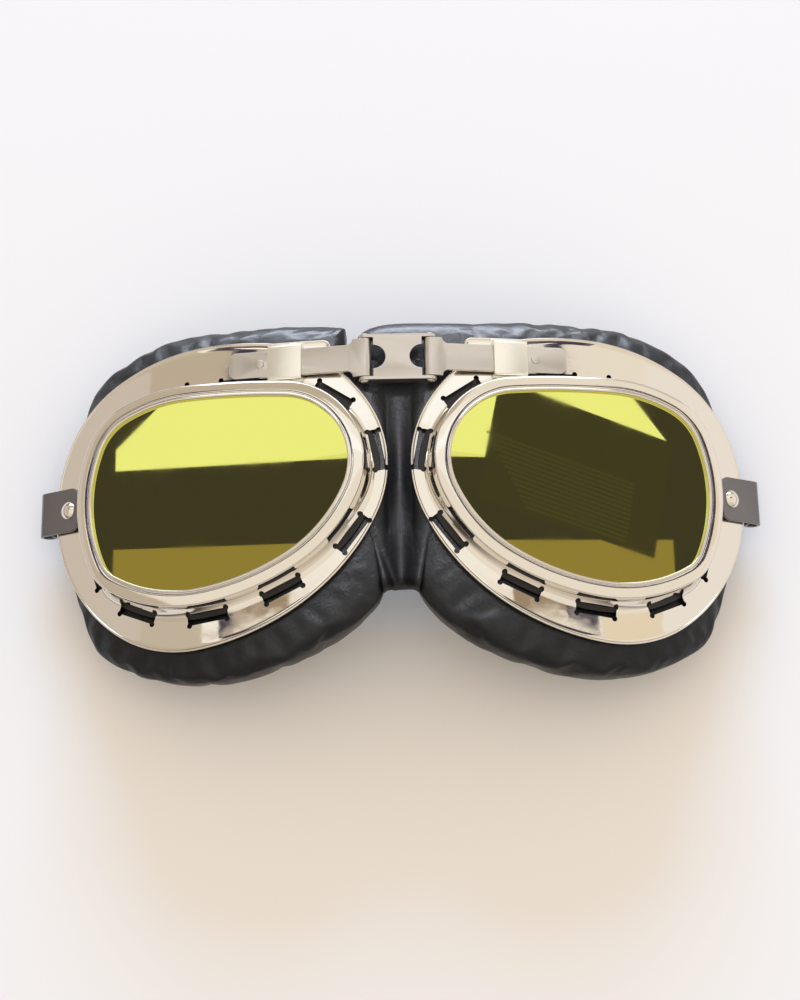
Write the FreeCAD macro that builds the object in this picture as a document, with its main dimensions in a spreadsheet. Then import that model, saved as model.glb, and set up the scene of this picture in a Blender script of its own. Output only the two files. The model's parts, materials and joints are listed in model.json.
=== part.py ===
import FreeCAD, Part
import math
import os
import sys

# Riding goggles with hinged bridge: two stamped metal eyecups on a padded leather mask.
# Millimetres and degrees. +Z points out of the lenses, +Y to the forehead, +X to the wearer's left temple.
# The origin lies under the middle of the part, on the surface that the cushions rest on.
# Left and right in the names are as seen from the front, so right is +X.
# The right eyecup is modelled, and the left one mirrors it.

SIZES = {
    # Lens and its seat, measured from the edge of the clear opening
    "lens_centre_y": -0.4,
    "lens_rise": 6.2,
    "lens_yaw": 12,
    "lens_width": 68.6,
    "lens_height": 50.6,
    "lens_margin": 2.4,
    "lens_thickness": 1.6,
    "gasket_thickness": 0.6,
    "gasket_width": 1.8,
    # Pressed-on lens ring
    "ring_reach": 4.2,
    "ring_lip": 0.7,
    "ring_crest": 1.5,
    "ring_crest_width": 0.8,
    "ring_shoulder": 0.5,
    "ring_edge_round": 0.7,
    "ring_skirt": 3.4,
    "ring_clearance": 0.05,
    # Stamped frame: collar wall and curved flange
    "sheet_thickness": 0.8,
    "flange_radius": 170,
    "flange_top_z": 40.5,
    "frame_half_gap": 2.9,
    "flange_side": 13.0,
    "flange_rise": 15.7,
    "flange_shift_x": 3.6,
    "flange_shift_y": 1.2,
    "rim_width": 1.0,
    "rim_rise": 0.35,
    "rim_return": 0.5,
    "tab_lead": 11.7,
    "tab_depth": 20,
    "tab_round": 2.0,
    "vent_length": 10.0,
    "vent_reach": 5.4,
    "vent_rise": 1.6,
    "vent_lobe": 0.95,
    # Clamp ring, cushion cover and foam behind the flange
    "clamp_thickness": 0.6,
    "clamp_width": 3.6,
    "clamp_clearance": 0.05,
    "pad_side": 2.7,
    "pad_rise": 6.5,
    "pad_temple_inset": 0.7,
    "pad_shift_y": 0.4,
    "pad_depth": 18.6,
    "pad_bulge": 8.0,
    "pad_gap": 0.3,
    "cover_thickness": 1.2,
    "cover_tuck": 3.0,
    "foam_clearance": 0.05,
    "opening_margin": 3.6,
    "opening_level": 6.8,
    "opening_angle": 8,
    "nose_half_gap": 3.1,
    "nose_angle": 12,
    # Leather between the two cushions
    "brow_half_width": 14.0,
    "brow_lap": 6.2,
    "brow_inset": 0.2,
    "brow_draw": 2.2,
    "brow_front_drop": 2.0,
    "brow_depth": 12.0,
    "saddle_lap": 3.5,
    "saddle_overhang": 1.7,
    "saddle_top_drop": 3.0,
    "saddle_bottom_drop": 5.5,
    "saddle_crown": 1.0,
    "saddle_depth": 6.5,
    "saddle_arch": 1.6,
    "nose_arch_radius": 6.0,
    # Hinged bridge
    "hinge_x": 8.5,
    "pin_radius": 0.8,
    "pin_fit": 0.02,
    "pin_running": 0.05,
    "pin_head_radius": 1.3,
    "pin_head_height": 0.5,
    "barrel_radius": 1.65,
    "barrel_length": 10.4,
    "barrel_play": 0.15,
    "ear_thickness": 0.9,
    "web_thickness": 0.9,
    "web_gap": 0.5,
    "notch_radius": 3.2,
    "arm_thickness": 1.0,
    "arm_width": 7.2,
    "arm_length": 36.2,
    "arm_lift": 0.95,
    "arm_head": 2.6,
    "arm_flare": 2.0,
    "arm_tail_round": 2.0,
    "stop_radius": 1.1,
    "stop_height": 0.45,
    "stop_gap": 1.2,
    "clip_x": 29.2,
    "clip_length": 9.0,
    "clip_height": 10.0,
    "clip_gap": 0.3,
    "clip_wall": 0.75,
    "clip_play": 0.1,
    "clip_round": 1.0,
    # Strap eyes at the temples
    "rivet_setback": 5.1,
    "rivet_y": 1.6,
    "rivet_head_radius": 2.5,
    "rivet_head_height": 1.1,
    "rivet_shank_radius": 1.2,
    "rivet_shoulder_radius": 2.0,
    "rivet_tail_radius": 1.7,
    "rivet_tail_height": 0.5,
    "rivet_play": 0.05,
    "loop_lift": 0.45,
    "loop_thickness": 0.9,
    "loop_width": 12.0,
    "loop_inner_reach": 3.4,
    "loop_eye_x": 8.5,
    "loop_eye_bore": 1.3,
    "loop_corner": 2.4,
    "loop_roll_angle": 290,
    # Tools for cuts
    "overrun": 5.0,
}

# Outlines: the direction of the outward normal where each arc starts, in degrees from the temple,
# and each arc's radius as a share of the outline's width.
ARC_START_ANGLES = (-25, 20, 62, 88, 96, 150, 205, 240, 262, 300)
LENS_RADIUS_SHARES = (0.60, 0.20, 0.53, 2.80, 0.28, 0.25, 0.53, 0.92, 0.53, 0.11)
FLANGE_RADIUS_SHARES = (0.42, 0.36, 0.69, 1.15, 0.40, 0.34, 0.60, 0.67, 0.38, 0.50)
PAD_RADIUS_SHARES = (0.83, 0.17, 0.60, 3.00, 0.13, 0.68, 0.30, 0.83, 0.58, 0.16)

# Cushion section from the flange backwards: depth as a share of the pad's depth, and how far the side
# is drawn in there as a share of its bulge.
PAD_SECTION_SHARES = (
    (-0.35, 1.30),
    (0.0, 0.66),
    (0.28, 0.16),
    (0.55, 0.0),
    (0.85, 0.06),
    (1.2, 0.28),
    (1.6, 0.85),
)

# Places of the vents along the collar, as shares of its length from the temple end, going over the brow.
VENT_SHARES = (0.02, 0.10, 0.18, 0.27, 0.366, 0.485, 0.5615, 0.657, 0.7605, 0.858, 0.948)

V = FreeCAD.Vector
ORIGIN = V(0, 0, 0)
ACROSS = V(1, 0, 0)
UPWARD = V(0, 1, 0)
OUTWARD = V(0, 0, 1)

doc = FreeCAD.newDocument("riding_goggles")
sheet = doc.addObject("Spreadsheet::Sheet", "sizes")
for row, (alias, value) in enumerate(SIZES.items(), start=1):
    sheet.set(f"A{row}", alias)
    sheet.set(f"B{row}", str(value))
    sheet.setAlias(f"B{row}", alias)
doc.recompute()


def size(alias):
    """The number in the sheet's cell of that name."""
    return float(sheet.get(alias))


def heading(degrees):
    """Unit vector in the XY plane, turned from +X."""
    angle = math.radians(degrees)
    return V(math.cos(angle), math.sin(angle), 0)


class Outline:
    """A closed chain of tangent arcs of a stated width and height, centred on its box.

    The radii start from their shares of the width. They are then corrected, the large ones first, so that
    the chain closes and spans exactly the width and the height.
    """

    def __init__(self, width, height, starts, radius_shares):
        self.starts = list(starts)
        self.ends = self.starts[1:] + [self.starts[0] + 360]
        radii = [share * width for share in radius_shares]
        rows = [[self._row(k, a, b) for a, b in zip(self.starts, self.ends)] for k in range(4)]
        wanted = (0, 0, width, height)
        lacking = [goal - sum(c * r for c, r in zip(line, radii)) for goal, line in zip(wanted, rows)]
        gram = [sum(p * q * r * r for p, q, r in zip(one, two, radii)) for one in rows for two in rows]
        inverse = FreeCAD.Matrix(*gram).inverse().A
        pull = [sum(inverse[4 * i + j] * lacking[j] for j in range(4)) for i in range(4)]
        self.radii = [
            r + r * r * sum(pull[k] * rows[k][i] for k in range(4)) for i, r in enumerate(radii)
        ]
        self.centres = [ORIGIN]
        for i, (before, after) in enumerate(zip(self.radii, self.radii[1:])):
            self.centres.append(self.centres[-1] + heading(self.ends[i]) * (before - after))
        sides = [self.at(turn) for turn in (0, 90, 180, 270)]
        middle = V((sides[0].x + sides[2].x) / 2, (sides[1].y + sides[3].y) / 2, 0)
        self.centres = [centre - middle for centre in self.centres]

    @staticmethod
    def _row(kind, start, end):
        """What one unit of radius between two directions adds to closure in x and y, width or height."""
        sine = [math.sin(math.radians(turn)) for turn in (start, end)]
        cosine = [math.cos(math.radians(turn)) for turn in (start, end)]
        if kind == 0:
            return cosine[1] - cosine[0]
        if kind == 1:
            return sine[1] - sine[0]
        low, high = (0, 180) if kind == 2 else (-90, 90)
        total = 0
        for turn in (-360, 0, 360):
            first, last = max(start, low + turn), min(end, high + turn)
            if first < last:
                a, b = math.radians(first - turn), math.radians(last - turn)
                total += math.cos(a) - math.cos(b) if kind == 2 else math.sin(b) - math.sin(a)
        return total

    def arc_of(self, turn):
        """Index of the arc that faces a direction."""
        turn = (turn - self.starts[0]) % 360 + self.starts[0]
        return max(i for i, start in enumerate(self.starts) if start <= turn)

    def at(self, turn, offset=0):
        """Point of the outline, moved outwards by an offset, where its normal has a direction."""
        i = self.arc_of(turn)
        return self.centres[i] + heading(turn) * (self.radii[i] + offset)

    def turn_at(self, share):
        """Direction of the normal at a share of the outline's length."""
        spans = [r * math.radians(b - a) for r, a, b in zip(self.radii, self.starts, self.ends)]
        left = share * sum(spans)
        for span, a, b in zip(spans, self.starts, self.ends):
            if left <= span:
                return a + (b - a) * left / span
            left -= span
        return self.ends[-1]

    def wire(self, offset=0, level=0):
        """The outline as a wire, moved outwards by an offset, at a height."""
        rise = OUTWARD * level
        arcs = []
        for centre, radius, a, b in zip(self.centres, self.radii, self.starts, self.ends):
            points = [centre + heading(turn) * (radius + offset) + rise for turn in (a, (a + b) / 2, b)]
            arcs.append(Part.Arc(*points).toShape())
        return Part.Wire(arcs)

    def slab(self, offset, bottom, top):
        """Solid inside the outline between two heights."""
        return Part.Face(self.wire(offset, bottom)).extrude(OUTWARD * (top - bottom))

    def moulding(self, section):
        """Solid made by running a section round the outline.

        The section is a closed list of (reach, height) corners. A corner of three pairs is a rounded one:
        where the round starts, its middle and where it ends.
        """
        pieces = []
        for centre, radius, a, b in zip(self.centres, self.radii, self.starts, self.ends):
            place = lambda pair: centre + heading(a) * (radius + pair[0]) + OUTWARD * pair[1]
            edges = []
            for this, following in zip(section, section[1:] + section[:1]):
                leave = this[-1] if isinstance(this[0], tuple) else this
                arrive = following[0] if isinstance(following[0], tuple) else following
                if isinstance(this[0], tuple):
                    edges.append(Part.Arc(*[place(pair) for pair in this]).toShape())
                edges.append(Part.makeLine(place(leave), place(arrive)))
            pieces.append(Part.Face(Part.Wire(edges)).revolve(centre, OUTWARD, b - a))
        return pieces[0].multiFuse(pieces[1:]).removeSplitter()


# Outer sizes that follow the lens
flange_width = size("lens_width") + 2 * size("flange_side")
flange_height = size("lens_height") + 2 * size("flange_rise")
pad_width = flange_width + 2 * size("pad_side")
pad_height = flange_height + 2 * size("pad_rise")
pad_shift_x = size("flange_shift_x") + flange_width / 2 - size("pad_temple_inset") - pad_width / 2

lens_outline = Outline(size("lens_width"), size("lens_height"), ARC_START_ANGLES, LENS_RADIUS_SHARES)
flange_outline = Outline(flange_width, flange_height, ARC_START_ANGLES, FLANGE_RADIUS_SHARES)
pad_outline = Outline(pad_width, pad_height, ARC_START_ANGLES, PAD_RADIUS_SHARES)

# Heights that the bridge and the leather between the cushions follow
lens_top = size("lens_centre_y") + size("lens_height") / 2
bridge_y = lens_top + size("ring_reach") + size("clip_gap") + size("clip_height") / 2
tab_top = bridge_y + size("clip_height") / 2 + size("clip_gap") + size("rim_width")
brow_bottom = bridge_y - size("brow_lap")
brow_top = size("lens_centre_y") + size("pad_shift_y") + pad_height / 2 - size("brow_inset")
saddle_top = brow_bottom + size("saddle_lap")
saddle_bottom = size("lens_centre_y") - size("lens_height") / 2 - size("saddle_overhang")


def lean_of(reach):
    """Angle round the flange's axis that a reach from its middle spans, in degrees."""
    return math.degrees(math.asin(reach / size("flange_radius")))


axis_z = size("flange_top_z") - size("flange_radius")


def on_flange(lean, y):
    """Placement on the flange's face at an angle round its axis: x down the slope, z square to it."""
    up = FreeCAD.Rotation(UPWARD, lean)
    return FreeCAD.Placement(V(0, y, axis_z) + up.multVec(OUTWARD) * size("flange_radius"), up)


# Places that several pieces share: the eyecup stands off the nose, and the rivet off the flange's temple edge
nose_reach = flange_width / 2 - size("flange_shift_x")
temple_reach = flange_width / 2 + size("flange_shift_x")
pad_lean = lean_of(size("frame_half_gap")) + lean_of(nose_reach)
clip_lean = lean_of(size("clip_x"))
rivet_lean = pad_lean + lean_of(temple_reach) - lean_of(size("rivet_setback"))
pad_place = on_flange(pad_lean, size("lens_centre_y"))
clip_place = on_flange(clip_lean, bridge_y)
rivet_place = on_flange(rivet_lean, size("rivet_y"))
lens_place = FreeCAD.Placement(
    pad_place.Base + OUTWARD * size("lens_rise"), FreeCAD.Rotation(UPWARD, size("lens_yaw"))
)

overrun = size("overrun")
deep = lens_place.Base.z
reach_x = rivet_place.Base.x + size("loop_eye_x") + overrun
block_length = 2 * pad_height


def placed(shape, placement):
    """A copy of a shape, moved to a placement."""
    moved = shape.copy()
    moved.Placement = placement.multiply(shape.Placement)
    return moved


def drum(radius):
    """Solid cylinder about the axis that the flanges and cushions curve round."""
    return Part.makeCylinder(radius, block_length, V(0, -block_length / 2, axis_z), UPWARD)


def shell(outer, inner):
    """Curved layer between two radii."""
    return drum(outer).cut(drum(inner))


def block(low, high):
    """Box between two corners."""
    return Part.makeBox(*(high - low), low)


def feature(label, shape, placement=None):
    """Document object that holds a finished shape under a node's name."""
    holder = doc.addObject("Part::Feature", label)
    holder.Label = label
    holder.Shape = shape
    if placement is not None:
        holder.Placement = placement
    return holder


# Levels of the lens seat, in the lens frame: zero is the front of the lens
lens_back = -size("lens_thickness")
seat_level = lens_back - size("gasket_thickness")
collar_inner = size("lens_margin") + size("ring_clearance") - size("sheet_thickness")
collar_outer = collar_inner + size("sheet_thickness")


def make_lens():
    """Flat lens that reaches under the ring."""
    body = feature("lens_blank", Part.Face(lens_outline.wire(size("lens_margin"), lens_back)))
    lens = doc.addObject("Part::Extrusion", "right_lens")
    lens.Base = body
    lens.DirMode = "Normal"
    lens.Solid = True
    lens.setExpression("LengthFwd", "sizes.lens_thickness")
    lens.Label = "right_lens"
    lens.Placement = lens_place
    return lens


def make_gasket():
    """Flat gasket between the lens and the collar's seat."""
    inner = size("lens_margin") - size("gasket_width")
    outer = size("lens_margin")
    section = [(inner, seat_level), (outer, seat_level), (outer, lens_back), (inner, lens_back)]
    return feature("right_lens_gasket", lens_outline.moulding(section), lens_place)


def make_ring():
    """Lens ring with a raised inner lip, a sloping face, a rounded edge and a skirt over the collar."""
    inside = collar_outer + size("ring_clearance")
    edge = size("ring_reach")
    round_by = size("ring_edge_round")
    crest = size("ring_crest")
    lip = size("ring_lip")
    front = size("ring_clearance")
    bottom = -size("ring_skirt")
    shoulder = size("ring_shoulder")
    half = round_by * (1 - math.sqrt(0.5))
    crest_end = size("ring_crest_width")
    crest_middle = (crest_end * (1 - math.sqrt(0.5)), lip + (crest - lip) * math.sqrt(0.5))
    crest_round = [(0, lip), crest_middle, (crest_end, crest)]
    edge_round = [(edge - round_by, shoulder), (edge - half, shoulder - half), (edge, shoulder - round_by)]
    section = [
        (0, front),
        tuple(crest_round),
        tuple(edge_round),
        (edge, bottom),
        (inside, bottom),
        (inside, front),
    ]
    return feature("right_lens_ring", lens_outline.moulding(section), lens_place)


def flange_height_at(x):
    """Height of the flange's face over a point of the lens plane, in the lens frame."""
    base = lens_place.multVec(V(x, 0, 0))
    normal = lens_place.Rotation.multVec(OUTWARD)
    low = base - V(0, base.y, axis_z)
    half = low.x * normal.x + low.z * normal.z
    return -half + math.sqrt(half * half - low.x**2 - low.z**2 + size("flange_radius") ** 2)


def make_vents():
    """Cutters for the dog-bone vents that straddle the bend between collar and flange."""
    cutters = []
    half = size("vent_length") / 2
    lobe = size("vent_lobe")
    wall = size("sheet_thickness")
    for share in VENT_SHARES:
        turn = lens_outline.turn_at(share)
        foot = lens_outline.at(turn, collar_outer)
        out = heading(turn)
        along = heading(turn + 90)
        frame = FreeCAD.Placement(
            foot + OUTWARD * flange_height_at(foot.x), FreeCAD.Rotation(out, along, OUTWARD, "XYZ")
        )
        parts = [block(V(-2 * wall, -half, -overrun), V(size("vent_reach"), half, size("vent_rise")))]
        for side in (-half, half):
            low = V(size("vent_reach") - lobe, side, -overrun)
            parts.append(Part.makeCylinder(lobe, overrun + wall, low, OUTWARD))
            high = V(-2 * wall, side, size("vent_rise") - lobe)
            parts.append(Part.makeCylinder(lobe, 3 * wall, high, ACROSS))
        cutters += [placed(part, lens_place.multiply(frame)) for part in parts]
    return cutters


def flange_plan(offset):
    """Flange outline with its squared tab under the bridge arm, in the pad frame, as a tall prism."""
    depth = size("pad_depth") + 2 * overrun
    plan = flange_outline.slab(offset, -depth, depth)
    plan.translate(V(size("flange_shift_x"), size("flange_shift_y"), 0))
    tab_x = size("flange_radius") * math.sin(math.radians(clip_lean - pad_lean)) - size("tab_lead")
    tab_y = tab_top - size("lens_centre_y")
    tab_low = V(tab_x - offset, tab_y - size("tab_depth"), -depth)
    tab = block(tab_low, V(0, tab_y + offset, depth))
    inner = [e for e in tab.Edges if e.BoundBox.XMax < tab_low.x + overrun]
    upper = [e for e in inner if e.BoundBox.YMin > tab_low.y + overrun]
    upright = [e for e in upper if e.BoundBox.ZLength > depth]
    tab = tab.makeFillet(size("tab_round"), upright)
    return plan.fuse(tab).removeSplitter()


def make_frame():
    """Stamped frame: lens seat, collar wall, curved flange with a rolled rim, and vents."""
    wall = size("sheet_thickness")
    radius = size("flange_radius")
    seat_inner = size("lens_margin") - size("gasket_width")
    section = [
        (seat_inner, seat_level - wall),
        (collar_inner, seat_level - wall),
        (collar_inner, -deep),
        (collar_outer, -deep),
        (collar_outer, seat_level),
        (seat_inner, seat_level),
    ]
    collar = placed(lens_outline.moulding(section), lens_place).cut(drum(radius - wall))
    hole = placed(lens_outline.slab(collar_inner, -deep, deep), lens_place)
    plan = placed(flange_plan(0), pad_place)
    sheet_part = plan.common(shell(radius, radius - wall))
    band = plan.cut(placed(flange_plan(-size("rim_width")), pad_place))
    rim = band.common(shell(radius + size("rim_rise"), radius - size("rim_return") - wall))
    flange = sheet_part.fuse(rim).cut(hole)
    frame = flange.fuse(collar).removeSplitter()
    frame = frame.cut(make_vents())
    rivet_hole = Part.makeCylinder(
        size("rivet_shank_radius") + size("pin_fit"), 2 * overrun, OUTWARD * -overrun, OUTWARD
    )
    frame = frame.cut(placed(rivet_hole, rivet_place))
    return feature("right_frame", frame.Solids[0])


clamp_outer = size("flange_radius") - size("sheet_thickness") - size("clamp_clearance")
clamp_inner = clamp_outer - size("clamp_thickness")
pad_front = clamp_inner - size("clamp_clearance")
pad_back = size("flange_radius") - size("pad_depth")


def eye_opening(margin):
    """Space of the eye through the cushion, widening towards the temple as it goes back."""
    level = size("opening_level")
    lean = FreeCAD.Rotation(UPWARD, -size("opening_angle")).multVec(OUTWARD)
    base = placed(Part.Face(lens_outline.wire(margin, -level)), lens_place)
    base.translate(lean * (-2 * deep))
    return base.extrude(lean * (4 * deep))


def make_clamp():
    """Thin clamp ring that holds the leather's front edge under the flange."""
    layer = shell(clamp_outer, clamp_inner)
    inner = collar_outer + size("ring_clearance")
    band = lens_outline.slab(inner + size("clamp_width"), -deep, 0)
    band = band.cut(lens_outline.slab(inner, -deep, 0))
    clamp = placed(band, lens_place).common(layer)
    plan = placed(flange_plan(-size("rim_width") - size("pad_gap")), pad_place)
    return feature("right_mask_clamp", clamp.common(plan).Solids[0])


def cushion(inset):
    """Cushion roll behind the flange, drawn in by an inset, but not where the flange covers its front."""
    wires = []
    for depth_share, draw_share in PAD_SECTION_SHARES:
        offset = -draw_share * size("pad_bulge") - inset
        wires.append(pad_outline.wire(offset, -depth_share * size("pad_depth")))
    roll = Part.makeLoft(wires, True)
    roll.translate(V(pad_shift_x, size("pad_shift_y"), 0))
    roll = placed(roll, pad_place).common(shell(pad_front, pad_back + inset))
    if inset:
        covered = placed(flange_plan(-size("cover_tuck") - inset), pad_place)
        roll = roll.cut(shell(pad_front + overrun, pad_front - inset).cut(covered))
    roll = roll.cut(eye_opening(size("opening_margin") + inset))
    return roll.cut(nose_room(inset)).cut(floor_room(inset))


def nose_room(inset):
    """Room between the cushions: a wedge for the nose, and a square bay for the brow cushion."""
    top = size("flange_top_z")
    half_top = size("nose_half_gap") + inset
    slope = math.tan(math.radians(size("nose_angle")))
    far = pad_height
    low_half = half_top + slope * (top + overrun)
    high_half = half_top - slope * overrun
    corners = [
        V(-low_half, -far, -overrun),
        V(low_half, -far, -overrun),
        V(high_half, -far, top + overrun),
        V(-high_half, -far, top + overrun),
    ]
    wedge = Part.Face(Part.makePolygon(corners + corners[:1])).extrude(UPWARD * (2 * far))
    half = size("brow_half_width") + size("pad_gap") + inset
    bay_bottom = brow_bottom - size("pad_gap") - inset
    bay = block(V(-half, bay_bottom, -overrun), V(half, far, top + overrun))
    return wedge.fuse(bay)


def floor_room(inset):
    """Space below the resting surface."""
    return block(V(-reach_x, -block_length / 2, -block_length), V(reach_x, block_length / 2, inset))


def make_cushion():
    """Leather cover, open under the flange, and the foam that it holds."""
    thick = size("cover_thickness")
    outer = cushion(0)
    cover = outer.cut(cushion(thick))
    foam = cushion(thick + size("foam_clearance"))
    return [feature("right_pad_cover", cover.Solids[0]), feature("right_pad_foam", foam.Solids[0])]


def brow_section(x, draw):
    """Section of the brow pad across its length, with a round top edge, drawn in by a length."""
    front = size("flange_top_z") - size("brow_front_drop") - draw
    back = size("flange_top_z") - size("brow_front_drop") - size("brow_depth") + draw
    middle = (front + back) / 2
    half = (front - back) / 2
    low = brow_bottom
    top = brow_top - draw
    slope = half * math.sqrt(0.5)
    turn = top - half
    point = lambda y, z: V(x, y, z)
    return Part.Wire(
        [
            Part.makeLine(point(low, back), point(turn, back)),
            Part.Arc(point(turn, back), point(turn + slope, middle - slope), point(top, middle)).toShape(),
            Part.Arc(point(top, middle), point(turn + slope, middle + slope), point(turn, front)).toShape(),
            Part.makeLine(point(turn, front), point(low, front)),
            Part.makeLine(point(low, front), point(low, back)),
        ]
    )


def saddle_section(y, drop):
    """Section of the nose saddle at a height: a crowned front, slanted sides and an arched back."""
    front = size("flange_top_z") - drop - size("saddle_crown")
    back = front - size("saddle_depth")
    slope = math.tan(math.radians(size("nose_angle")))
    half_at = lambda z: size("nose_half_gap") - size("pad_gap") + slope * (size("flange_top_z") - z)
    point = lambda x, z: V(x, y, z)
    wide, narrow = half_at(back), half_at(front)
    crown = front + size("saddle_crown")
    arch = back + size("saddle_arch")
    return Part.Wire(
        [
            Part.Arc(point(-narrow, front), point(0, crown), point(narrow, front)).toShape(),
            Part.makeLine(point(narrow, front), point(wide, back)),
            Part.Arc(point(wide, back), point(0, arch), point(-wide, back)).toShape(),
            Part.makeLine(point(-wide, back), point(-narrow, front)),
        ]
    )


def make_mask_centre():
    """Leather between the cushions: a crowned brow pad over a saddle that bridges the nose."""
    half = size("brow_half_width")
    draw = size("brow_draw")
    brow = Part.makeLoft([brow_section(-half, draw), brow_section(0, 0), brow_section(half, draw)], True)
    saddle = Part.makeLoft(
        [
            saddle_section(saddle_top, size("saddle_top_drop")),
            saddle_section(saddle_bottom, size("saddle_bottom_drop")),
        ],
        True,
    )
    radius = size("nose_arch_radius")
    foot = V(0, saddle_bottom - radius / 2, -overrun)
    arch = Part.makeCylinder(radius, block_length, foot, OUTWARD)
    return feature("mask_centre", brow.fuse(saddle.cut(arch)).removeSplitter().Solids[0])


def origin_plane(body, role):
    """One of a body's own origin planes."""
    return next(item for item in body.Origin.OriginFeatures if item.Role == role)


def sketch_on(body, name, role, geometry, rise=None):
    """Sketch on a body's origin plane, raised along the plane's normal where a rise is given."""
    sketch = body.newObject("Sketcher::SketchObject", name)
    sketch.AttachmentSupport = (origin_plane(body, role), [""])
    sketch.MapMode = "FlatFace"
    sketch.addGeometry(geometry, False)
    if rise is not None:
        sketch.setExpression("AttachmentOffset.Base.z", rise)
    return sketch


def pad_of(body, sketch, length, midplane=False):
    """Material pushed out of a sketch by a length from the sheet."""
    pad = body.newObject("PartDesign::Pad", sketch.Name + "_pad")
    pad.Profile = sketch
    pad.setExpression("Length", length)
    if midplane:
        pad.SideType = "Symmetric"
    sketch.Visibility = False
    return pad


def pocket_of(body, sketch, length):
    """Material cut to both sides of a sketch over a length from the sheet."""
    pocket = body.newObject("PartDesign::Pocket", sketch.Name + "_pocket")
    pocket.Profile = sketch
    pocket.setExpression("Length", length)
    pocket.SideType = "Symmetric"
    return pocket


def turned(body, sketch, axis):
    """Solid of revolution of a sketch about one of its axes."""
    spin = body.newObject("PartDesign::Revolution", sketch.Name + "_spin")
    spin.Profile = sketch
    spin.ReferenceAxis = (sketch, [axis])
    spin.Angle = 360
    return spin


def polygon(corners):
    """Closed chain of straight sketch lines through (x, y) corners."""
    points = [V(x, y, 0) for x, y in corners]
    return [Part.LineSegment(a, b) for a, b in zip(points, points[1:] + points[:1])]


def circle(x, y, radius):
    """Full circle for a sketch."""
    return Part.Circle(V(x, y, 0), OUTWARD, radius)


def sector(x, y, radius, start, end):
    """Arc of a circle for a sketch, anticlockwise between two directions in degrees."""
    return Part.ArcOfCircle(circle(x, y, radius), math.radians(start), math.radians(end))


def line(a, b):
    """Straight sketch line between two (x, y) points."""
    return Part.LineSegment(V(a[0], a[1], 0), V(b[0], b[1], 0))


# The bridge's pins lie where the arms, lying over the flange at their clips, reach the hinges.
arm_lean = FreeCAD.Rotation(clip_place.Rotation)
arm_run = (size("clip_x") - size("hinge_x")) / math.cos(arm_lean.Angle)
arm_bottom = size("barrel_radius") - size("arm_thickness")
arm_start = V(-arm_run, 0, size("arm_lift") - arm_bottom)
arm_place = clip_place.multiply(FreeCAD.Placement(arm_start, FreeCAD.Rotation()))
pin_z = arm_place.Base.z
arm_place.Base = V(size("hinge_x"), bridge_y, pin_z)
link_place = FreeCAD.Placement(V(0, bridge_y, pin_z), FreeCAD.Rotation())


def make_link():
    """Channel-shaped link: a web with a round notch at each barrel, and two ears that hold the pins."""
    body = doc.addObject("PartDesign::Body", "bridge_link")
    body.Label = "bridge_link"
    x = size("hinge_x")
    r = size("barrel_radius")
    web_half = x - r - size("web_gap")
    under = r - size("web_thickness")
    outline = [
        line((-x, -r), (x, -r)),
        sector(x, 0, r, -90, 90),
        line((x, r), (-x, r)),
        sector(-x, 0, r, 90, 270),
    ]
    side = sketch_on(body, "link_side", "XZ_Plane", outline)
    pad_of(body, side, "sizes.barrel_length + 2 * (sizes.barrel_play + sizes.ear_thickness)", True)
    wide = x + r + overrun
    hollow = [
        (-wide, -r - overrun), (wide, -r - overrun), (wide, r + overrun), (web_half, r + overrun),
        (web_half, under), (-web_half, under), (-web_half, r + overrun), (-wide, r + overrun),
    ]
    channel = sketch_on(body, "link_channel", "XZ_Plane", polygon(hollow))
    pocket_of(body, channel, "sizes.barrel_length + 2 * sizes.barrel_play")
    notches = [circle(side_x, 0, size("notch_radius")) for side_x in (-web_half, web_half)]
    for number, notch in enumerate(notches, start=1):
        cut = sketch_on(body, f"link_notch_{number}", "XY_Plane", [notch])
        pocket_of(body, cut, "4 * sizes.barrel_radius")
    bores = [circle(side_x, 0, size("pin_radius") + size("pin_fit")) for side_x in (-x, x)]
    bore = sketch_on(body, "link_bores", "XZ_Plane", bores)
    pocket_of(body, bore, "4 * sizes.barrel_length")
    body.Placement = link_place
    return body


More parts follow.
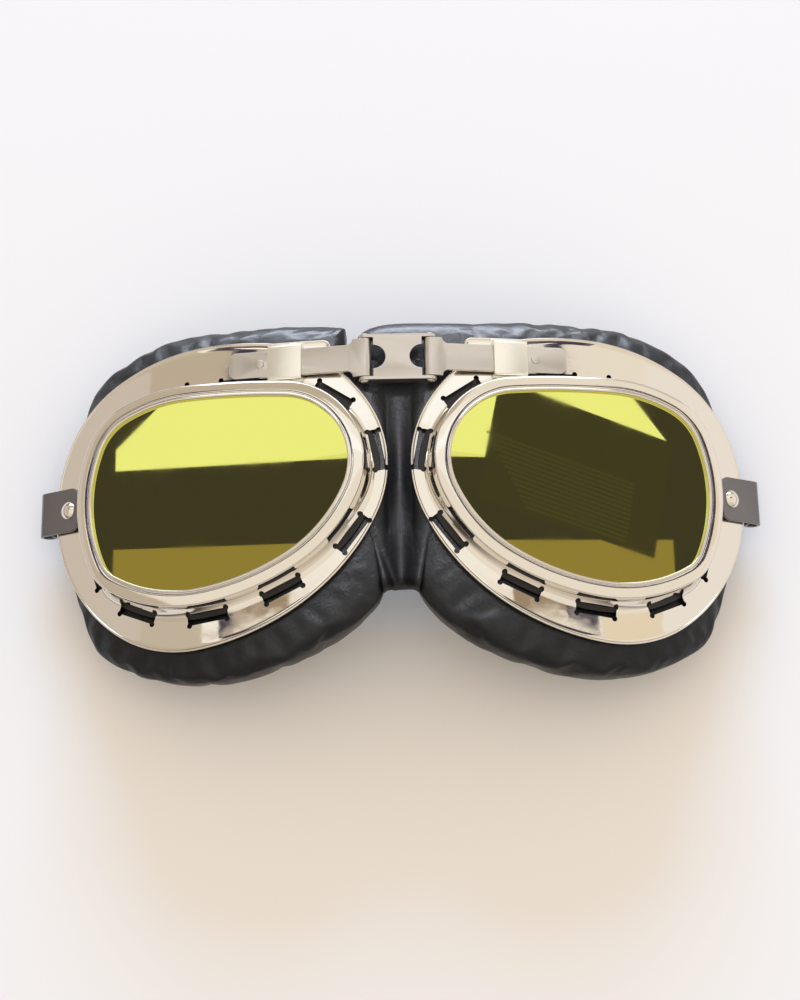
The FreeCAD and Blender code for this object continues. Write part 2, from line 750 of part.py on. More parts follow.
def make_arm():
    """Sliding bridge arm: a rolled barrel, a flared head and a flat tail with a stop."""
    body = doc.addObject("PartDesign::Body", "right_bridge_arm")
    body.Label = "right_bridge_arm"
    head_half = size("barrel_length") / 2
    half = size("arm_width") / 2
    neck = size("arm_head")
    flare = size("arm_flare")
    end = size("arm_length")
    tail = size("arm_tail_round")
    step = head_half - half
    round_by = min(flare, step)
    outline = [
        line((0, -head_half), (neck, -head_half)),
        line((neck, -head_half), (neck + flare - round_by, -half - round_by)),
        sector(neck + flare, -half - round_by, round_by, 90, 180),
        line((neck + flare, -half), (end - tail, -half)),
        sector(end - tail, -half + tail, tail, -90, 0),
        line((end, -half + tail), (end, half - tail)),
        sector(end - tail, half - tail, tail, 0, 90),
        line((end - tail, half), (neck + flare, half)),
        sector(neck + flare, half + round_by, round_by, 180, 270),
        line((neck + flare - round_by, half + round_by), (neck, head_half)),
        line((neck, head_half), (0, head_half)),
        line((0, head_half), (0, -head_half)),
    ]
    plan = sketch_on(body, "arm_plan", "XY_Plane", outline, "sizes.barrel_radius - sizes.arm_thickness")
    pad_of(body, plan, "sizes.arm_thickness")
    barrel = sketch_on(body, "arm_barrel", "XZ_Plane", [circle(0, 0, size("barrel_radius"))])
    pad_of(body, barrel, "sizes.barrel_length", True)
    stop_x = arm_run + size("clip_length") / 2 + size("stop_gap") + size("stop_radius")
    knob = [circle(stop_x, 0, size("stop_radius"))]
    stop = sketch_on(body, "arm_stop", "XY_Plane", knob, "sizes.barrel_radius")
    pad_of(body, stop, "sizes.stop_height")
    hole = [circle(0, 0, size("pin_radius") + size("pin_running"))]
    bore = sketch_on(body, "arm_bore", "XZ_Plane", hole)
    pocket_of(body, bore, "2 * sizes.barrel_length")
    body.Placement = arm_place
    return body


def make_clip():
    """Folded sleeve on the flange, in which the arm's tail slides."""
    body = doc.addObject("PartDesign::Body", "right_bridge_clip")
    body.Label = "right_bridge_clip"
    play = size("clip_play")
    slot_half = size("arm_width") / 2 + play
    half = size("clip_height") / 2
    slot_low = size("arm_lift") - play
    slot_high = size("arm_lift") + size("arm_thickness") + play
    low = slot_low - size("clip_wall")
    high = slot_high + size("clip_wall")
    r = size("clip_round")
    outer = [
        line((-half, low), (half, low)),
        line((half, low), (half, high - r)),
        sector(half - r, high - r, r, 0, 90),
        line((half - r, high), (-half + r, high)),
        sector(-half + r, high - r, r, 90, 180),
        line((-half, high - r), (-half, low)),
    ]
    corners = [(-slot_half, slot_low), (slot_half, slot_low), (slot_half, slot_high), (-slot_half, slot_high)]
    inner = polygon(corners)
    section = sketch_on(body, "clip_section", "YZ_Plane", outer + inner)
    pad_of(body, section, "sizes.clip_length", True)
    body.Placement = clip_place
    return body


def make_pin():
    """Hinge pin with a flat head at each end."""
    body = doc.addObject("PartDesign::Body", "right_hinge_pin")
    body.Label = "right_hinge_pin"
    half = size("barrel_length") / 2 + size("barrel_play") + size("ear_thickness")
    end = half + size("pin_head_height")
    r = size("pin_radius")
    head = size("pin_head_radius")
    corners = [(0, -end), (r, -end), (head, -half), (r, -half), (r, half), (head, half), (r, end), (0, end)]
    turned(body, sketch_on(body, "pin_profile", "XY_Plane", polygon(corners)), "V_Axis")
    body.Placement = FreeCAD.Placement(arm_place.Base, FreeCAD.Rotation())
    return body


def make_loop():
    """Strap eye: a riveted plate with its outer end rolled into a tube."""
    body = doc.addObject("PartDesign::Body", "right_strap_loop")
    body.Label = "right_strap_loop"
    low = size("loop_lift")
    high = low + size("loop_thickness")
    bore = size("loop_eye_bore")
    wall = bore + size("loop_thickness")
    x = size("loop_eye_x")
    centre = high - wall
    inner = -size("loop_inner_reach")
    last = 90 - size("loop_roll_angle")
    tip = heading(last)
    profile = [
        line((inner, low), (x, low)),
        sector(x, centre, bore, last, 90),
        line((x + tip.x * bore, centre + tip.y * bore), (x + tip.x * wall, centre + tip.y * wall)),
        sector(x, centre, wall, last, 90),
        line((x, high), (inner, high)),
        line((inner, high), (inner, low)),
    ]
    pad_of(body, sketch_on(body, "loop_profile", "XZ_Plane", profile), "sizes.loop_width", True)
    hole = circle(0, 0, size("rivet_shank_radius") + size("rivet_play"))
    cut = pocket_of(body, sketch_on(body, "loop_hole", "XY_Plane", [hole]), "4 * sizes.loop_width")
    doc.recompute()
    corners = [
        f"Edge{number}"
        for number, edge in enumerate(cut.Shape.Edges, start=1)
        if edge.BoundBox.XMax < inner + size("pad_gap") and edge.BoundBox.YLength < size("pad_gap")
    ]
    rounding = body.newObject("PartDesign::Fillet", "loop_corners")
    rounding.Base = (cut, corners)
    rounding.setExpression("Radius", "sizes.loop_corner")
    body.Placement = rivet_place
    return body


def make_rivet():
    """Shouldered rivet that the strap eye swings on."""
    body = doc.addObject("PartDesign::Body", "right_strap_rivet")
    body.Label = "right_strap_rivet"
    head_low = size("loop_lift") + size("loop_thickness") + size("rivet_play")
    head_high = head_low + size("rivet_head_height")
    r = size("rivet_shank_radius")
    head = size("rivet_head_radius")
    shoulder = size("rivet_shoulder_radius")
    tail_high = -size("sheet_thickness") - size("rivet_play")
    tail_low = tail_high - size("rivet_tail_height")
    lift = size("loop_lift") - size("rivet_play")
    dome_radius = (head**2 + size("rivet_head_height") ** 2) / (2 * size("rivet_head_height"))
    spread = math.degrees(math.asin(head / dome_radius))
    profile = [
        line((0, tail_low), (size("rivet_tail_radius"), tail_low)),
        line((size("rivet_tail_radius"), tail_low), (size("rivet_tail_radius"), tail_high)),
        line((size("rivet_tail_radius"), tail_high), (r, tail_high)),
        line((r, tail_high), (r, size("rivet_play"))),
        line((r, size("rivet_play")), (shoulder, size("rivet_play"))),
        line((shoulder, size("rivet_play")), (shoulder, lift)),
        line((shoulder, lift), (r, lift)),
        line((r, lift), (r, head_low)),
        line((r, head_low), (head, head_low)),
        sector(0, head_high - dome_radius, dome_radius, 90 - spread, 90),
        line((0, head_high), (0, tail_low)),
    ]
    turned(body, sketch_on(body, "rivet_profile", "XZ_Plane", profile), "V_Axis")
    body.Placement = rivet_place
    return body


def mirrored(source):
    """The same piece on the other side of the nose."""
    twin = doc.addObject("Part::Mirroring", source.Label.replace("right_", "left_"))
    twin.Label = source.Label.replace("right_", "left_")
    twin.Source = source
    twin.Normal = ACROSS
    return twin


centre_pieces = [make_link(), make_mask_centre()]
right_pieces = [
    make_lens(),
    make_gasket(),
    make_ring(),
    make_frame(),
    make_clamp(),
    *make_cushion(),
    make_arm(),
    make_clip(),
    make_pin(),
    make_loop(),
    make_rivet(),
]
pieces = centre_pieces + right_pieces + [mirrored(piece) for piece in right_pieces]
doc.recompute()

for item in doc.Objects:
    if {"Invalid", "Error"} & set(item.State):
        sys.exit(f"{item.Label} did not build: {item.State}")
for piece in pieces:
    if piece.Shape.isNull() or not piece.Shape.isValid():
        sys.exit(f"{piece.Label} has no valid shape")

os.makedirs("parts", exist_ok=True)
for piece in pieces:
    piece.Shape.exportStep(f"parts/{piece.Label}.step")
    box = piece.Shape.optimalBoundingBox()
    print(
        f"{piece.Label}: {len(piece.Shape.Solids)} solid, {piece.Shape.Volume:.1f} mm3,"
        f" x {box.XMin:.1f}..{box.XMax:.1f} y {box.YMin:.1f}..{box.YMax:.1f} z {box.ZMin:.1f}..{box.ZMax:.1f}"
    )
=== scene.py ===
import json
import logging
import math
from dataclasses import dataclass
from enum import Enum
from functools import cached_property

import bpy
import numpy as np
from mathutils import Matrix, Vector

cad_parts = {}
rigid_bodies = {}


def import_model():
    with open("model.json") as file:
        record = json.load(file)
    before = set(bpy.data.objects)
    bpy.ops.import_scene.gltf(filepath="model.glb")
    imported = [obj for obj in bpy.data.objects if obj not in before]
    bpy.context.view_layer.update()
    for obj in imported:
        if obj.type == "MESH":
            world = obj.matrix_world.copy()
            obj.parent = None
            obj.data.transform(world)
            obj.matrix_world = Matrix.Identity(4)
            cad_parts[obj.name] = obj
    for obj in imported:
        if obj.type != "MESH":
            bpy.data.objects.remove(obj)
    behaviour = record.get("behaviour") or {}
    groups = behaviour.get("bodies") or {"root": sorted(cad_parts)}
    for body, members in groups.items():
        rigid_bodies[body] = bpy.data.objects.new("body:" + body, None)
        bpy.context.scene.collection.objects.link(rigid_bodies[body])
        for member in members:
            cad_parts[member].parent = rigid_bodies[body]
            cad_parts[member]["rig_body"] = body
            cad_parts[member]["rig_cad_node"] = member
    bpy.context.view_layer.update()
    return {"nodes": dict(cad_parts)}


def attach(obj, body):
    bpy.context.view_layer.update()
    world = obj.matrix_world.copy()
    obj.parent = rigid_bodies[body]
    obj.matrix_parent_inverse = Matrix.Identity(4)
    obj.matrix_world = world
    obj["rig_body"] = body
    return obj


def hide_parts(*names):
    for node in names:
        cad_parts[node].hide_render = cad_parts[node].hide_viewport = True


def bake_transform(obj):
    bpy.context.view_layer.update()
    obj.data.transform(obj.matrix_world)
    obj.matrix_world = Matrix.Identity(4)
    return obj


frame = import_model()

LOG = logging.getLogger("riding_goggles")
MM = 0.001
TAU = 2 * math.pi
# Corners of a CAD mesh closer than this are one, and faces flatter than this are joined.
WELD_MM = 0.002
FLAT_DEGREES = 0.6
# Edges sharper than these angles in degrees stay sharp.
SHARP_FITTING = 38
SHARP_STAMPING = 30
SHARP_RING = 40
SHARP_LEATHER = 60
# Frames that leather settles for.
CLOTH_STEPS = 20


class Side(Enum):
    """The two eyecups as seen from the front."""

    LEFT = -1
    RIGHT = 1

    @property
    def word(self) -> str:
        """The word that the side's nodes and bodies start with."""
        return self.name.lower()


def linear(colour: str) -> tuple[float, float, float, float]:
    """Turn an sRGB hex colour to linear values.

    Args:
        colour: Six hex digits after a hash sign.

    Returns:
        Red, green, blue and a full alpha.
    """
    shares = [int(colour[i : i + 2], 16) / 255 for i in (1, 3, 5)]
    red, green, blue = (s / 12.92 if s <= 0.04045 else ((s + 0.055) / 1.055) ** 2.4 for s in shares)
    return red, green, blue, 1.0


def add_node(tree: bpy.types.NodeTree, kind: str, inputs: dict, **settings: object) -> bpy.types.Node:
    """Add a node with its settings, and set or link its inputs.

    Args:
        tree: Node tree that gets the node.
        kind: Blender's name of the node's type.
        inputs: Input name or number to a value, or to a socket that is linked to it.
        settings: Properties of the node.

    Returns:
        The new node.
    """
    node = tree.nodes.new(kind)
    for name, value in settings.items():
        setattr(node, name, value)
    for name, value in inputs.items():
        if isinstance(value, bpy.types.NodeSocket):
            tree.links.new(value, node.inputs[name])
        else:
            node.inputs[name].default_value = value
    return node


def per_metre(size_mm: float) -> float:
    """Scale of a pattern whose marks have a size in millimetres."""
    return 1 / (size_mm * MM)


@dataclass(frozen=True)
class Finish:
    """A surface finish. Each kind fills in its own nodes."""

    name: str
    slot: str

    def material(self) -> bpy.types.Material:
        """The finish as a material, made once.

        Returns:
            The material.
        """
        found = bpy.data.materials.get(self.name)
        if found:
            return found
        made = bpy.data.materials.new(self.name)
        made.use_nodes = True
        tree = made.node_tree
        shader = tree.nodes["Principled BSDF"]
        place = add_node(tree, "ShaderNodeTexCoord", {}).outputs["Object"]
        self.paint(tree, shader, place)
        return made

    def paint(self, tree: bpy.types.NodeTree, shader: bpy.types.Node, place: bpy.types.NodeSocket) -> None:
        """Set the shader and add the pattern's nodes.

        Args:
            tree: The material's node tree.
            shader: Its Principled shader.
            place: Object coordinates.
        """
        raise NotImplementedError

    def coat(self, piece: bpy.types.Object) -> None:
        """Give the finish to a piece.

        Args:
            piece: Mesh object.
        """
        piece.data.materials.clear()
        piece.data.materials.append(self.material())


@dataclass(frozen=True)
class ChromePlate(Finish):
    """Polished chrome over pressed steel sheet.

    The eye sees a bright, slightly warm mirror. The press leaves a faint swell in it, handling leaves dull
    patches, and old polish leaves fine hairlines.
    """

    name: str = "chrome_plated_steel"
    slot: str = "chrome"
    colour: str = "#E6E0D6"
    swell_mm: float = 9.0
    smear_mm: float = 5.0
    hairline_mm: float = 0.35

    def paint(self, tree: bpy.types.NodeTree, shader: bpy.types.Node, place: bpy.types.NodeSocket) -> None:
        """Mirror with a swell, dull smears and hairlines.

        Args:
            tree: The material's node tree.
            shader: Its Principled shader.
            place: Object coordinates.
        """
        shader.inputs["Base Color"].default_value = linear(self.colour)
        shader.inputs["Metallic"].default_value = 1.0
        swell = add_node(tree, "ShaderNodeTexNoise", {"Vector": place, "Scale": per_metre(self.swell_mm)})
        smear = add_node(
            tree, "ShaderNodeTexNoise", {"Vector": place, "Scale": per_metre(self.smear_mm), "Detail": 6.0}
        )
        stretch = add_node(tree, "ShaderNodeMapping", {"Vector": place, "Scale": (1.0, 9.0, 1.0)})
        hairline = add_node(
            tree,
            "ShaderNodeTexNoise",
            {"Vector": stretch.outputs[0], "Scale": per_metre(self.hairline_mm * 9), "Detail": 3.0},
        )
        dull = add_node(
            tree,
            "ShaderNodeMapRange",
            {0: smear.outputs[0], "From Min": 0.42, "From Max": 0.72, "To Min": 0.035, "To Max": 0.1},
        )
        fine = add_node(
            tree,
            "ShaderNodeMapRange",
            {0: hairline.outputs[0], "From Min": 0.5, "From Max": 0.75, "To Min": 0.0, "To Max": 0.04},
        )
        rough = add_node(tree, "ShaderNodeMath", {0: dull.outputs[0], 1: fine.outputs[0]}, operation="ADD")
        tree.links.new(rough.outputs[0], shader.inputs["Roughness"])
        bump = add_node(
            tree, "ShaderNodeBump", {"Height": swell.outputs[0], "Strength": 0.25, "Distance": 0.12 * MM}
        )
        tree.links.new(bump.outputs[0], shader.inputs["Normal"])


@dataclass(frozen=True)
class BrushedNickel(Finish):
    """Satin nickel on the bridge and strap plates.

    The eye sees a softer, greyer metal than the chrome, with fine brush lines along the strip.
    """

    name: str = "brushed_nickel"
    slot: str = "nickel"
    colour: str = "#CFCAC4"
    line_mm: float = 0.22
    stain_mm: float = 3.0

    def paint(self, tree: bpy.types.NodeTree, shader: bpy.types.Node, place: bpy.types.NodeSocket) -> None:
        """Brush lines in roughness and bump, with dull stains.

        Args:
            tree: The material's node tree.
            shader: Its Principled shader.
            place: Object coordinates.
        """
        shader.inputs["Base Color"].default_value = linear(self.colour)
        shader.inputs["Metallic"].default_value = 1.0
        shader.inputs["Anisotropic"].default_value = 0.35
        stretch = add_node(tree, "ShaderNodeMapping", {"Vector": place, "Scale": (0.05, 1.0, 1.0)})
        line = add_node(
            tree,
            "ShaderNodeTexNoise",
            {"Vector": stretch.outputs[0], "Scale": per_metre(self.line_mm), "Detail": 3.0},
        )
        stain = add_node(
            tree, "ShaderNodeTexNoise", {"Vector": place, "Scale": per_metre(self.stain_mm), "Detail": 5.0}
        )
        mixed = add_node(
            tree, "ShaderNodeMath", {0: line.outputs[0], 1: stain.outputs[0]}, operation="ADD"
        )
        rough = add_node(
            tree,
            "ShaderNodeMapRange",
            {0: mixed.outputs[0], "From Min": 0.6, "From Max": 1.4, "To Min": 0.26, "To Max": 0.36},
        )
        tree.links.new(rough.outputs[0], shader.inputs["Roughness"])
        bump = add_node(
            tree, "ShaderNodeBump", {"Height": line.outputs[0], "Strength": 0.06, "Distance": 0.02 * MM}
        )
        tree.links.new(bump.outputs[0], shader.inputs["Normal"])


@dataclass(frozen=True)
class MirrorCoat(Finish):
    """Smoke polycarbonate with a vacuum-deposited yellow-green mirror coat.

    The eye sees a clean coloured mirror, a little hazy where it was wiped.
    """

    name: str = "mirror_coated_polycarbonate"
    slot: str = "mirror_lens"
    colour: str = "#D6D670"
    wipe_mm: float = 12.0

    def paint(self, tree: bpy.types.NodeTree, shader: bpy.types.Node, place: bpy.types.NodeSocket) -> None:
        """Coloured mirror with faint wipe marks.

        Args:
            tree: The material's node tree.
            shader: Its Principled shader.
            place: Object coordinates.
        """
        shader.inputs["Base Color"].default_value = linear(self.colour)
        shader.inputs["Metallic"].default_value = 1.0
        wipe = add_node(
            tree, "ShaderNodeTexNoise", {"Vector": place, "Scale": per_metre(self.wipe_mm), "Detail": 7.0}
        )
        rough = add_node(
            tree,
            "ShaderNodeMapRange",
            {0: wipe.outputs[0], "From Min": 0.4, "From Max": 0.75, "To Min": 0.01, "To Max": 0.028},
        )
        tree.links.new(rough.outputs[0], shader.inputs["Roughness"])


@dataclass(frozen=True)
class BlackLeather(Finish):
    """Black chrome-tanned leather, drum-dyed and lightly waxed.

    The eye sees near-black skin with a fine pebble grain, finer creases between the pebbles, and a soft cool
    sheen where the surface turns to the light. The real pebble is finer than a pixel, so it is drawn coarser.
    """

    name: str = "waxed_black_leather"
    slot: str = "black_leather"
    colour: str = "#06070A"
    worn_colour: str = "#0F1218"
    pebble_mm: float = 0.75
    crease_mm: float = 3.2

    def paint(self, tree: bpy.types.NodeTree, shader: bpy.types.Node, place: bpy.types.NodeSocket) -> None:
        """Pebble grain and creases in the bump, wear in colour and roughness.

        Args:
            tree: The material's node tree.
            shader: Its Principled shader.
            place: Object coordinates.
        """
        shader.inputs["Specular IOR Level"].default_value = 0.3
        shader.inputs["Coat Weight"].default_value = 0.06
        shader.inputs["Coat Roughness"].default_value = 0.32
        shader.inputs["Sheen Weight"].default_value = 0.01
        shader.inputs["Sheen Roughness"].default_value = 0.45
        shader.inputs["Sheen Tint"].default_value = linear("#9FB0B8")
        pebble = add_node(
            tree,
            "ShaderNodeTexVoronoi",
            {"Vector": place, "Scale": per_metre(self.pebble_mm)},
            feature="SMOOTH_F1",
        )
        crease = add_node(
            tree,
            "ShaderNodeTexNoise",
            {"Vector": place, "Scale": per_metre(self.crease_mm), "Detail": 6.0, "Distortion": 0.8},
        )
        colour = add_node(tree, "ShaderNodeValToRGB", {0: crease.outputs[0]})
        colour.color_ramp.elements[0].position = 0.35
        colour.color_ramp.elements[0].color = linear(self.colour)
        colour.color_ramp.elements[1].position = 0.8
        colour.color_ramp.elements[1].color = linear(self.worn_colour)
        tree.links.new(colour.outputs[0], shader.inputs["Base Color"])
        rough = add_node(
            tree,
            "ShaderNodeMapRange",
            {0: crease.outputs[0], "From Min": 0.3, "From Max": 0.75, "To Min": 0.46, "To Max": 0.36},
        )
        tree.links.new(rough.outputs[0], shader.inputs["Roughness"])
        broad = add_node(
            tree, "ShaderNodeBump", {"Height": crease.outputs[0], "Strength": 0.5, "Distance": 0.35 * MM}
        )
        grain = add_node(
            tree,
            "ShaderNodeBump",
            {
                "Height": pebble.outputs[0],
                "Strength": 0.35,
                "Distance": 0.08 * MM,
                "Normal": broad.outputs[0],
            },
            invert=True,
        )
        tree.links.new(grain.outputs[0], shader.inputs["Normal"])


@dataclass(frozen=True)
class MattBlack(Finish):
    """A matt black finish for hidden parts: moulded rubber, foam or phosphated steel."""

    colour: str = "#141415"
    roughness: float = 0.7
    grit_mm: float = 0.4

    def paint(self, tree: bpy.types.NodeTree, shader: bpy.types.Node, place: bpy.types.NodeSocket) -> None:
        """Dark surface with a fine grit.

        Args:
            tree: The material's node tree.
            shader: Its Principled shader.
            place: Object coordinates.
        """
        shader.inputs["Base Color"].default_value = linear(self.colour)
        grit = add_node(
            tree, "ShaderNodeTexNoise", {"Vector": place, "Scale": per_metre(self.grit_mm), "Detail": 2.0}
        )
        rough = add_node(
            tree,
            "ShaderNodeMapRange",
            {0: grit.outputs[0], "To Min": self.roughness - 0.12, "To Max": self.roughness + 0.12},
        )
        tree.links.new(rough.outputs[0], shader.inputs["Roughness"])
        bump = add_node(
            tree, "ShaderNodeBump", {"Height": grit.outputs[0], "Strength": 0.2, "Distance": 0.05 * MM}
        )
        tree.links.new(bump.outputs[0], shader.inputs["Normal"])


CHROME = ChromePlate()
NICKEL = BrushedNickel()
SATIN = BrushedNickel("satin_chrome", "chrome", "#F0EDE2")
# The strap loops' nickel is the same brushed nickel in a darker colour: painted shade on the loops.
NICKEL_PAINTED_SHADE = BrushedNickel("dulled_nickel", "nickel", "#7A7879")
MIRROR = MirrorCoat()
LEATHER = BlackLeather()
RUBBER = MattBlack("moulded_rubber", "gasket_rubber")
PHOSPHATE = MattBlack("phosphated_steel", "black_steel", "#1B1B1C", 0.5)


def clear_selection() -> None:
    """Deselect every object."""
    bpy.ops.object.select_all(action="DESELECT")


def take(piece: bpy.types.Object) -> None:
    """Make a piece the only selected and the active object.

    Args:
        piece: Mesh object.
    """
    clear_selection()
    piece.select_set(True)
    bpy.context.view_layer.objects.active = piece


def face_outwards(piece: bpy.types.Object) -> None:
    """Recalculate a closed mesh's normals to point outwards.

    Args:
        piece: Closed mesh object.
    """
    take(piece)
    bpy.ops.object.mode_set(mode="EDIT")
    bpy.ops.mesh.select_all(action="SELECT")
    bpy.ops.mesh.normals_make_consistent(inside=False)
    bpy.ops.object.mode_set(mode="OBJECT")


def shade(piece: bpy.types.Object, degrees: float) -> None:
    """Shade smooth, with edges sharper than an angle left sharp."""
    take(piece)
    bpy.ops.object.shade_smooth_by_angle(angle=math.radians(degrees))


def set_points(piece: bpy.types.Object, points: np.ndarray) -> None:
    """Move a mesh's vertices.

    Args:
        piece: Mesh object.
        points: One row of three millimetre values for each vertex.
    """
    piece.data.vertices.foreach_set("co", (points.reshape(-1, 3) * MM).astype(np.float32).ravel())
    piece.data.update()


def get_points(piece: bpy.types.Object) -> np.ndarray:
    """Read a mesh's vertices.

    Args:
        piece: Mesh object.

    Returns:
        One row of three millimetre values for each vertex.
    """
    flat = np.zeros(len(piece.data.vertices) * 3, np.float32)
    piece.data.vertices.foreach_get("co", flat)
    return flat.reshape(-1, 3).astype(float) / MM


def skin_ring(name: str, rings: np.ndarray) -> bpy.types.Object:
    """Shape a torus primitive to a closed ring of sections.

    Args:
        name: Name of the piece.
        rings: Points in millimetres, one row of section points for each station, 256 stations at most.

    Returns:
        The ring, with its faces outwards.
    """
    clear_selection()
    bpy.ops.mesh.primitive_torus_add(major_segments=rings.shape[0], minor_segments=rings.shape[1])
    piece = bpy.context.object
    piece.name = piece.data.name = name
    set_points(piece, rings)
    face_outwards(piece)
    return piece


def apply_modifier(piece: bpy.types.Object, kind: str, **settings: object) -> None:
    """Add a modifier with its settings and apply it.

    Args:
        piece: Mesh object.
        kind: Blender's name of the modifier's type.
        settings: Properties of the modifier.
    """
    take(piece)
    bpy.ops.object.modifier_add(type=kind)
    modifier = piece.modifiers[-1]
    for name, value in settings.items():
        setattr(modifier, name, value)
    bpy.ops.object.modifier_apply(modifier=modifier.name)


def from_cad(node: str, bevel_mm: float, degrees: float = 32) -> bpy.types.Object:
    """A copy of a CAD node with merged corners and softened edges.

    Args:
        node: Name of the CAD node.
        bevel_mm: Width of the softened edges.
        degrees: Edges sharper than this are softened.

    Returns:
        The copy, which stands for the node and rides on its body.
    """
    source = frame["nodes"][node]
    piece = source.copy()
    piece.data = source.data.copy()
    piece.name = piece.data.name = node + "_finished"
    body = source["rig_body"]
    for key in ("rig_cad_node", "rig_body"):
        del piece[key]
    piece.parent = None
    bpy.context.scene.collection.objects.link(piece)
    piece.matrix_world = Matrix.Identity(4)
    take(piece)
    bpy.ops.object.mode_set(mode="EDIT")
    bpy.ops.mesh.select_all(action="SELECT")
    bpy.ops.mesh.remove_doubles(threshold=WELD_MM * MM)
    bpy.ops.mesh.customdata_custom_splitnormals_clear()
    bpy.ops.mesh.dissolve_limited(angle_limit=math.radians(FLAT_DEGREES))
    bpy.ops.object.mode_set(mode="OBJECT")
    apply_modifier(
        piece,
        "BEVEL",
        width=bevel_mm * MM,
        segments=3,
        limit_method="ANGLE",
        angle_limit=math.radians(degrees),
        harden_normals=False,
    )
    shade(piece, SHARP_FITTING)
    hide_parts(node)
    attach(piece, body)
    return piece


def settle(piece: bpy.types.Object, held: np.ndarray, slack: float, pressure: float, cap_mm: float) -> None:
    """Let leather settle over its filling by a cloth simulation, and apply the result.

    Args:
        piece: Closed mesh object.
        held: For each vertex, how firmly it is sewn down, from 0 to 1.
        slack: Share by which the leather is cut larger than the shape it starts from.
        pressure: Push of the filling.
        cap_mm: Furthest that a point may move.
    """
    before = get_points(piece)
    group = piece.vertex_groups.new(name="sewn_down")
    for index in np.flatnonzero(held > 0):
        group.add([int(index)], float(held[index]), "REPLACE")
    take(piece)
    bpy.ops.object.modifier_add(type="CLOTH")
    cloth = piece.modifiers[-1]
    cloth.collision_settings.use_collision = False
    cloth.collision_settings.use_self_collision = False
    settings = cloth.settings
    settings.quality = 6
    settings.mass = 0.1
    settings.bending_stiffness = 0.2
    settings.vertex_group_mass = group.name
    settings.use_pressure = True
    settings.uniform_pressure_force = pressure
    settings.shrink_min = -slack
    settings.effector_weights.gravity = 0.0
    scene = bpy.context.scene
    for step in range(1, CLOTH_STEPS + 1):
        scene.frame_set(step)
    bpy.ops.object.modifier_apply(modifier=cloth.name)
    scene.frame_set(1)
    piece.vertex_groups.clear()
    moved = get_points(piece) - before
    far = np.maximum(np.linalg.norm(moved, axis=1, keepdims=True), 1e-9)
    LOG.info("%s settled: moved %.2f mm at most, %.2f on average", piece.name, far.max(), far.mean())
    set_points(piece, before + moved * np.minimum(1, cap_mm / far))


def arc(x: float, y: float, radius: float, start: float, end: float, steps: int) -> list[tuple[float, float]]:
    """Points along an arc.

    Args:
        x: Across place of its centre.
        y: Height of its centre.
        radius: Its radius.
        start: Angle where it starts, in degrees.
        end: Angle where it ends.
        steps: Number of points.

    Returns:
        Pairs of across and height.
    """
    angles = np.radians(np.linspace(start, end, steps))
    return [(x + radius * math.cos(a), y + radius * math.sin(a)) for a in angles]


class Gain(Enum):
    """What the arcs of an outline add up to."""

    CLOSURE_X = 0
    CLOSURE_Y = 1
    WIDTH = 2
    HEIGHT = 3


class Outline:
    """A closed chain of tangent arcs of a stated width and height, centred on its box.

    The arcs' normals start at the directions in starts, in degrees.
    """

    starts = np.array([-25, 20, 62, 88, 96, 150, 205, 240, 262, 300], float)

    def __init__(self, width: float, height: float, radius_shares: tuple[float, ...]) -> None:
        """Close the chain with the least change to its radii, and centre it.

        Args:
            width: Width of its box in millimetres.
            height: Height of its box.
            radius_shares: Each arc's radius as a share of the width, before the chain is closed.
        """
        self.ends = np.append(self.starts[1:], self.starts[0] + 360)
        radii = np.array(radius_shares) * width
        spans = list(zip(self.starts, self.ends))
        rows = np.array([[self._gain(gain, *span) for span in spans] for gain in Gain])
        lacking = np.array([0, 0, width, height]) - rows @ radii
        pull = np.linalg.solve((rows * radii**2) @ rows.T, lacking)
        self.radii = radii + radii**2 * (pull @ rows)
        steps = (self.radii[:-1] - self.radii[1:])[:, None] * self.heading(self.ends[:-1])
        self.centres = np.vstack([np.zeros(2), np.cumsum(steps, axis=0)])
        east, north, west, south = (self.at(np.array([turn]))[0] for turn in (0, 90, 180, 270))
        self.centres -= np.array([(east[0] + west[0]) / 2, (north[1] + south[1]) / 2])

    @staticmethod
    def heading(turn: np.ndarray) -> np.ndarray:
        """Unit directions for angles in degrees."""
        return np.stack([np.cos(np.radians(turn)), np.sin(np.radians(turn))], axis=-1)

    @staticmethod
    def _gain(kind: Gain, start: float, end: float) -> float:
        """What one unit of an arc's radius adds to a measure of the chain.

        Args:
            kind: The measure.
            start: Direction of the normal where the arc starts, in degrees.
            end: Direction where it ends.

        Returns:
            Its share of the measure.
        """
        if kind is Gain.CLOSURE_X:
            return math.cos(math.radians(end)) - math.cos(math.radians(start))
        if kind is Gain.CLOSURE_Y:
            return math.sin(math.radians(end)) - math.sin(math.radians(start))
        low, high = (0, 180) if kind is Gain.WIDTH else (-90, 90)
        total = 0.0
        for turn in (-360, 0, 360):
            first, last = max(start, low + turn), min(end, high + turn)
            if first < last:
                a, b = math.radians(first - turn), math.radians(last - turn)
                total += math.cos(a) - math.cos(b) if kind is Gain.WIDTH else math.sin(b) - math.sin(a)
        return total

    def at(self, turn: np.ndarray, offset: float = 0.0) -> np.ndarray:
        """Points whose normal has a direction, moved outwards by an offset.

        Args:
            turn: Directions in degrees.
            offset: How far outside the outline the points lie.

        Returns:
            Rows of two places.
        """
        wrapped = (turn - self.starts[0]) % 360 + self.starts[0]
        which = np.searchsorted(self.starts, wrapped, side="right") - 1
        return self.centres[which] + self.heading(turn) * (self.radii[which] + offset)[:, None]

    def turn_at(self, share: np.ndarray) -> np.ndarray:
        """Directions of the normal at shares of the outline's length.

        Args:
            share: Shares from 0 to 1.

        Returns:
            Directions in degrees.
        """
        spans = self.radii * np.radians(self.ends - self.starts)
        marks = np.concatenate([[0], np.cumsum(spans)]) / spans.sum()
        return np.interp(share, marks, np.append(self.starts, self.ends[-1]))


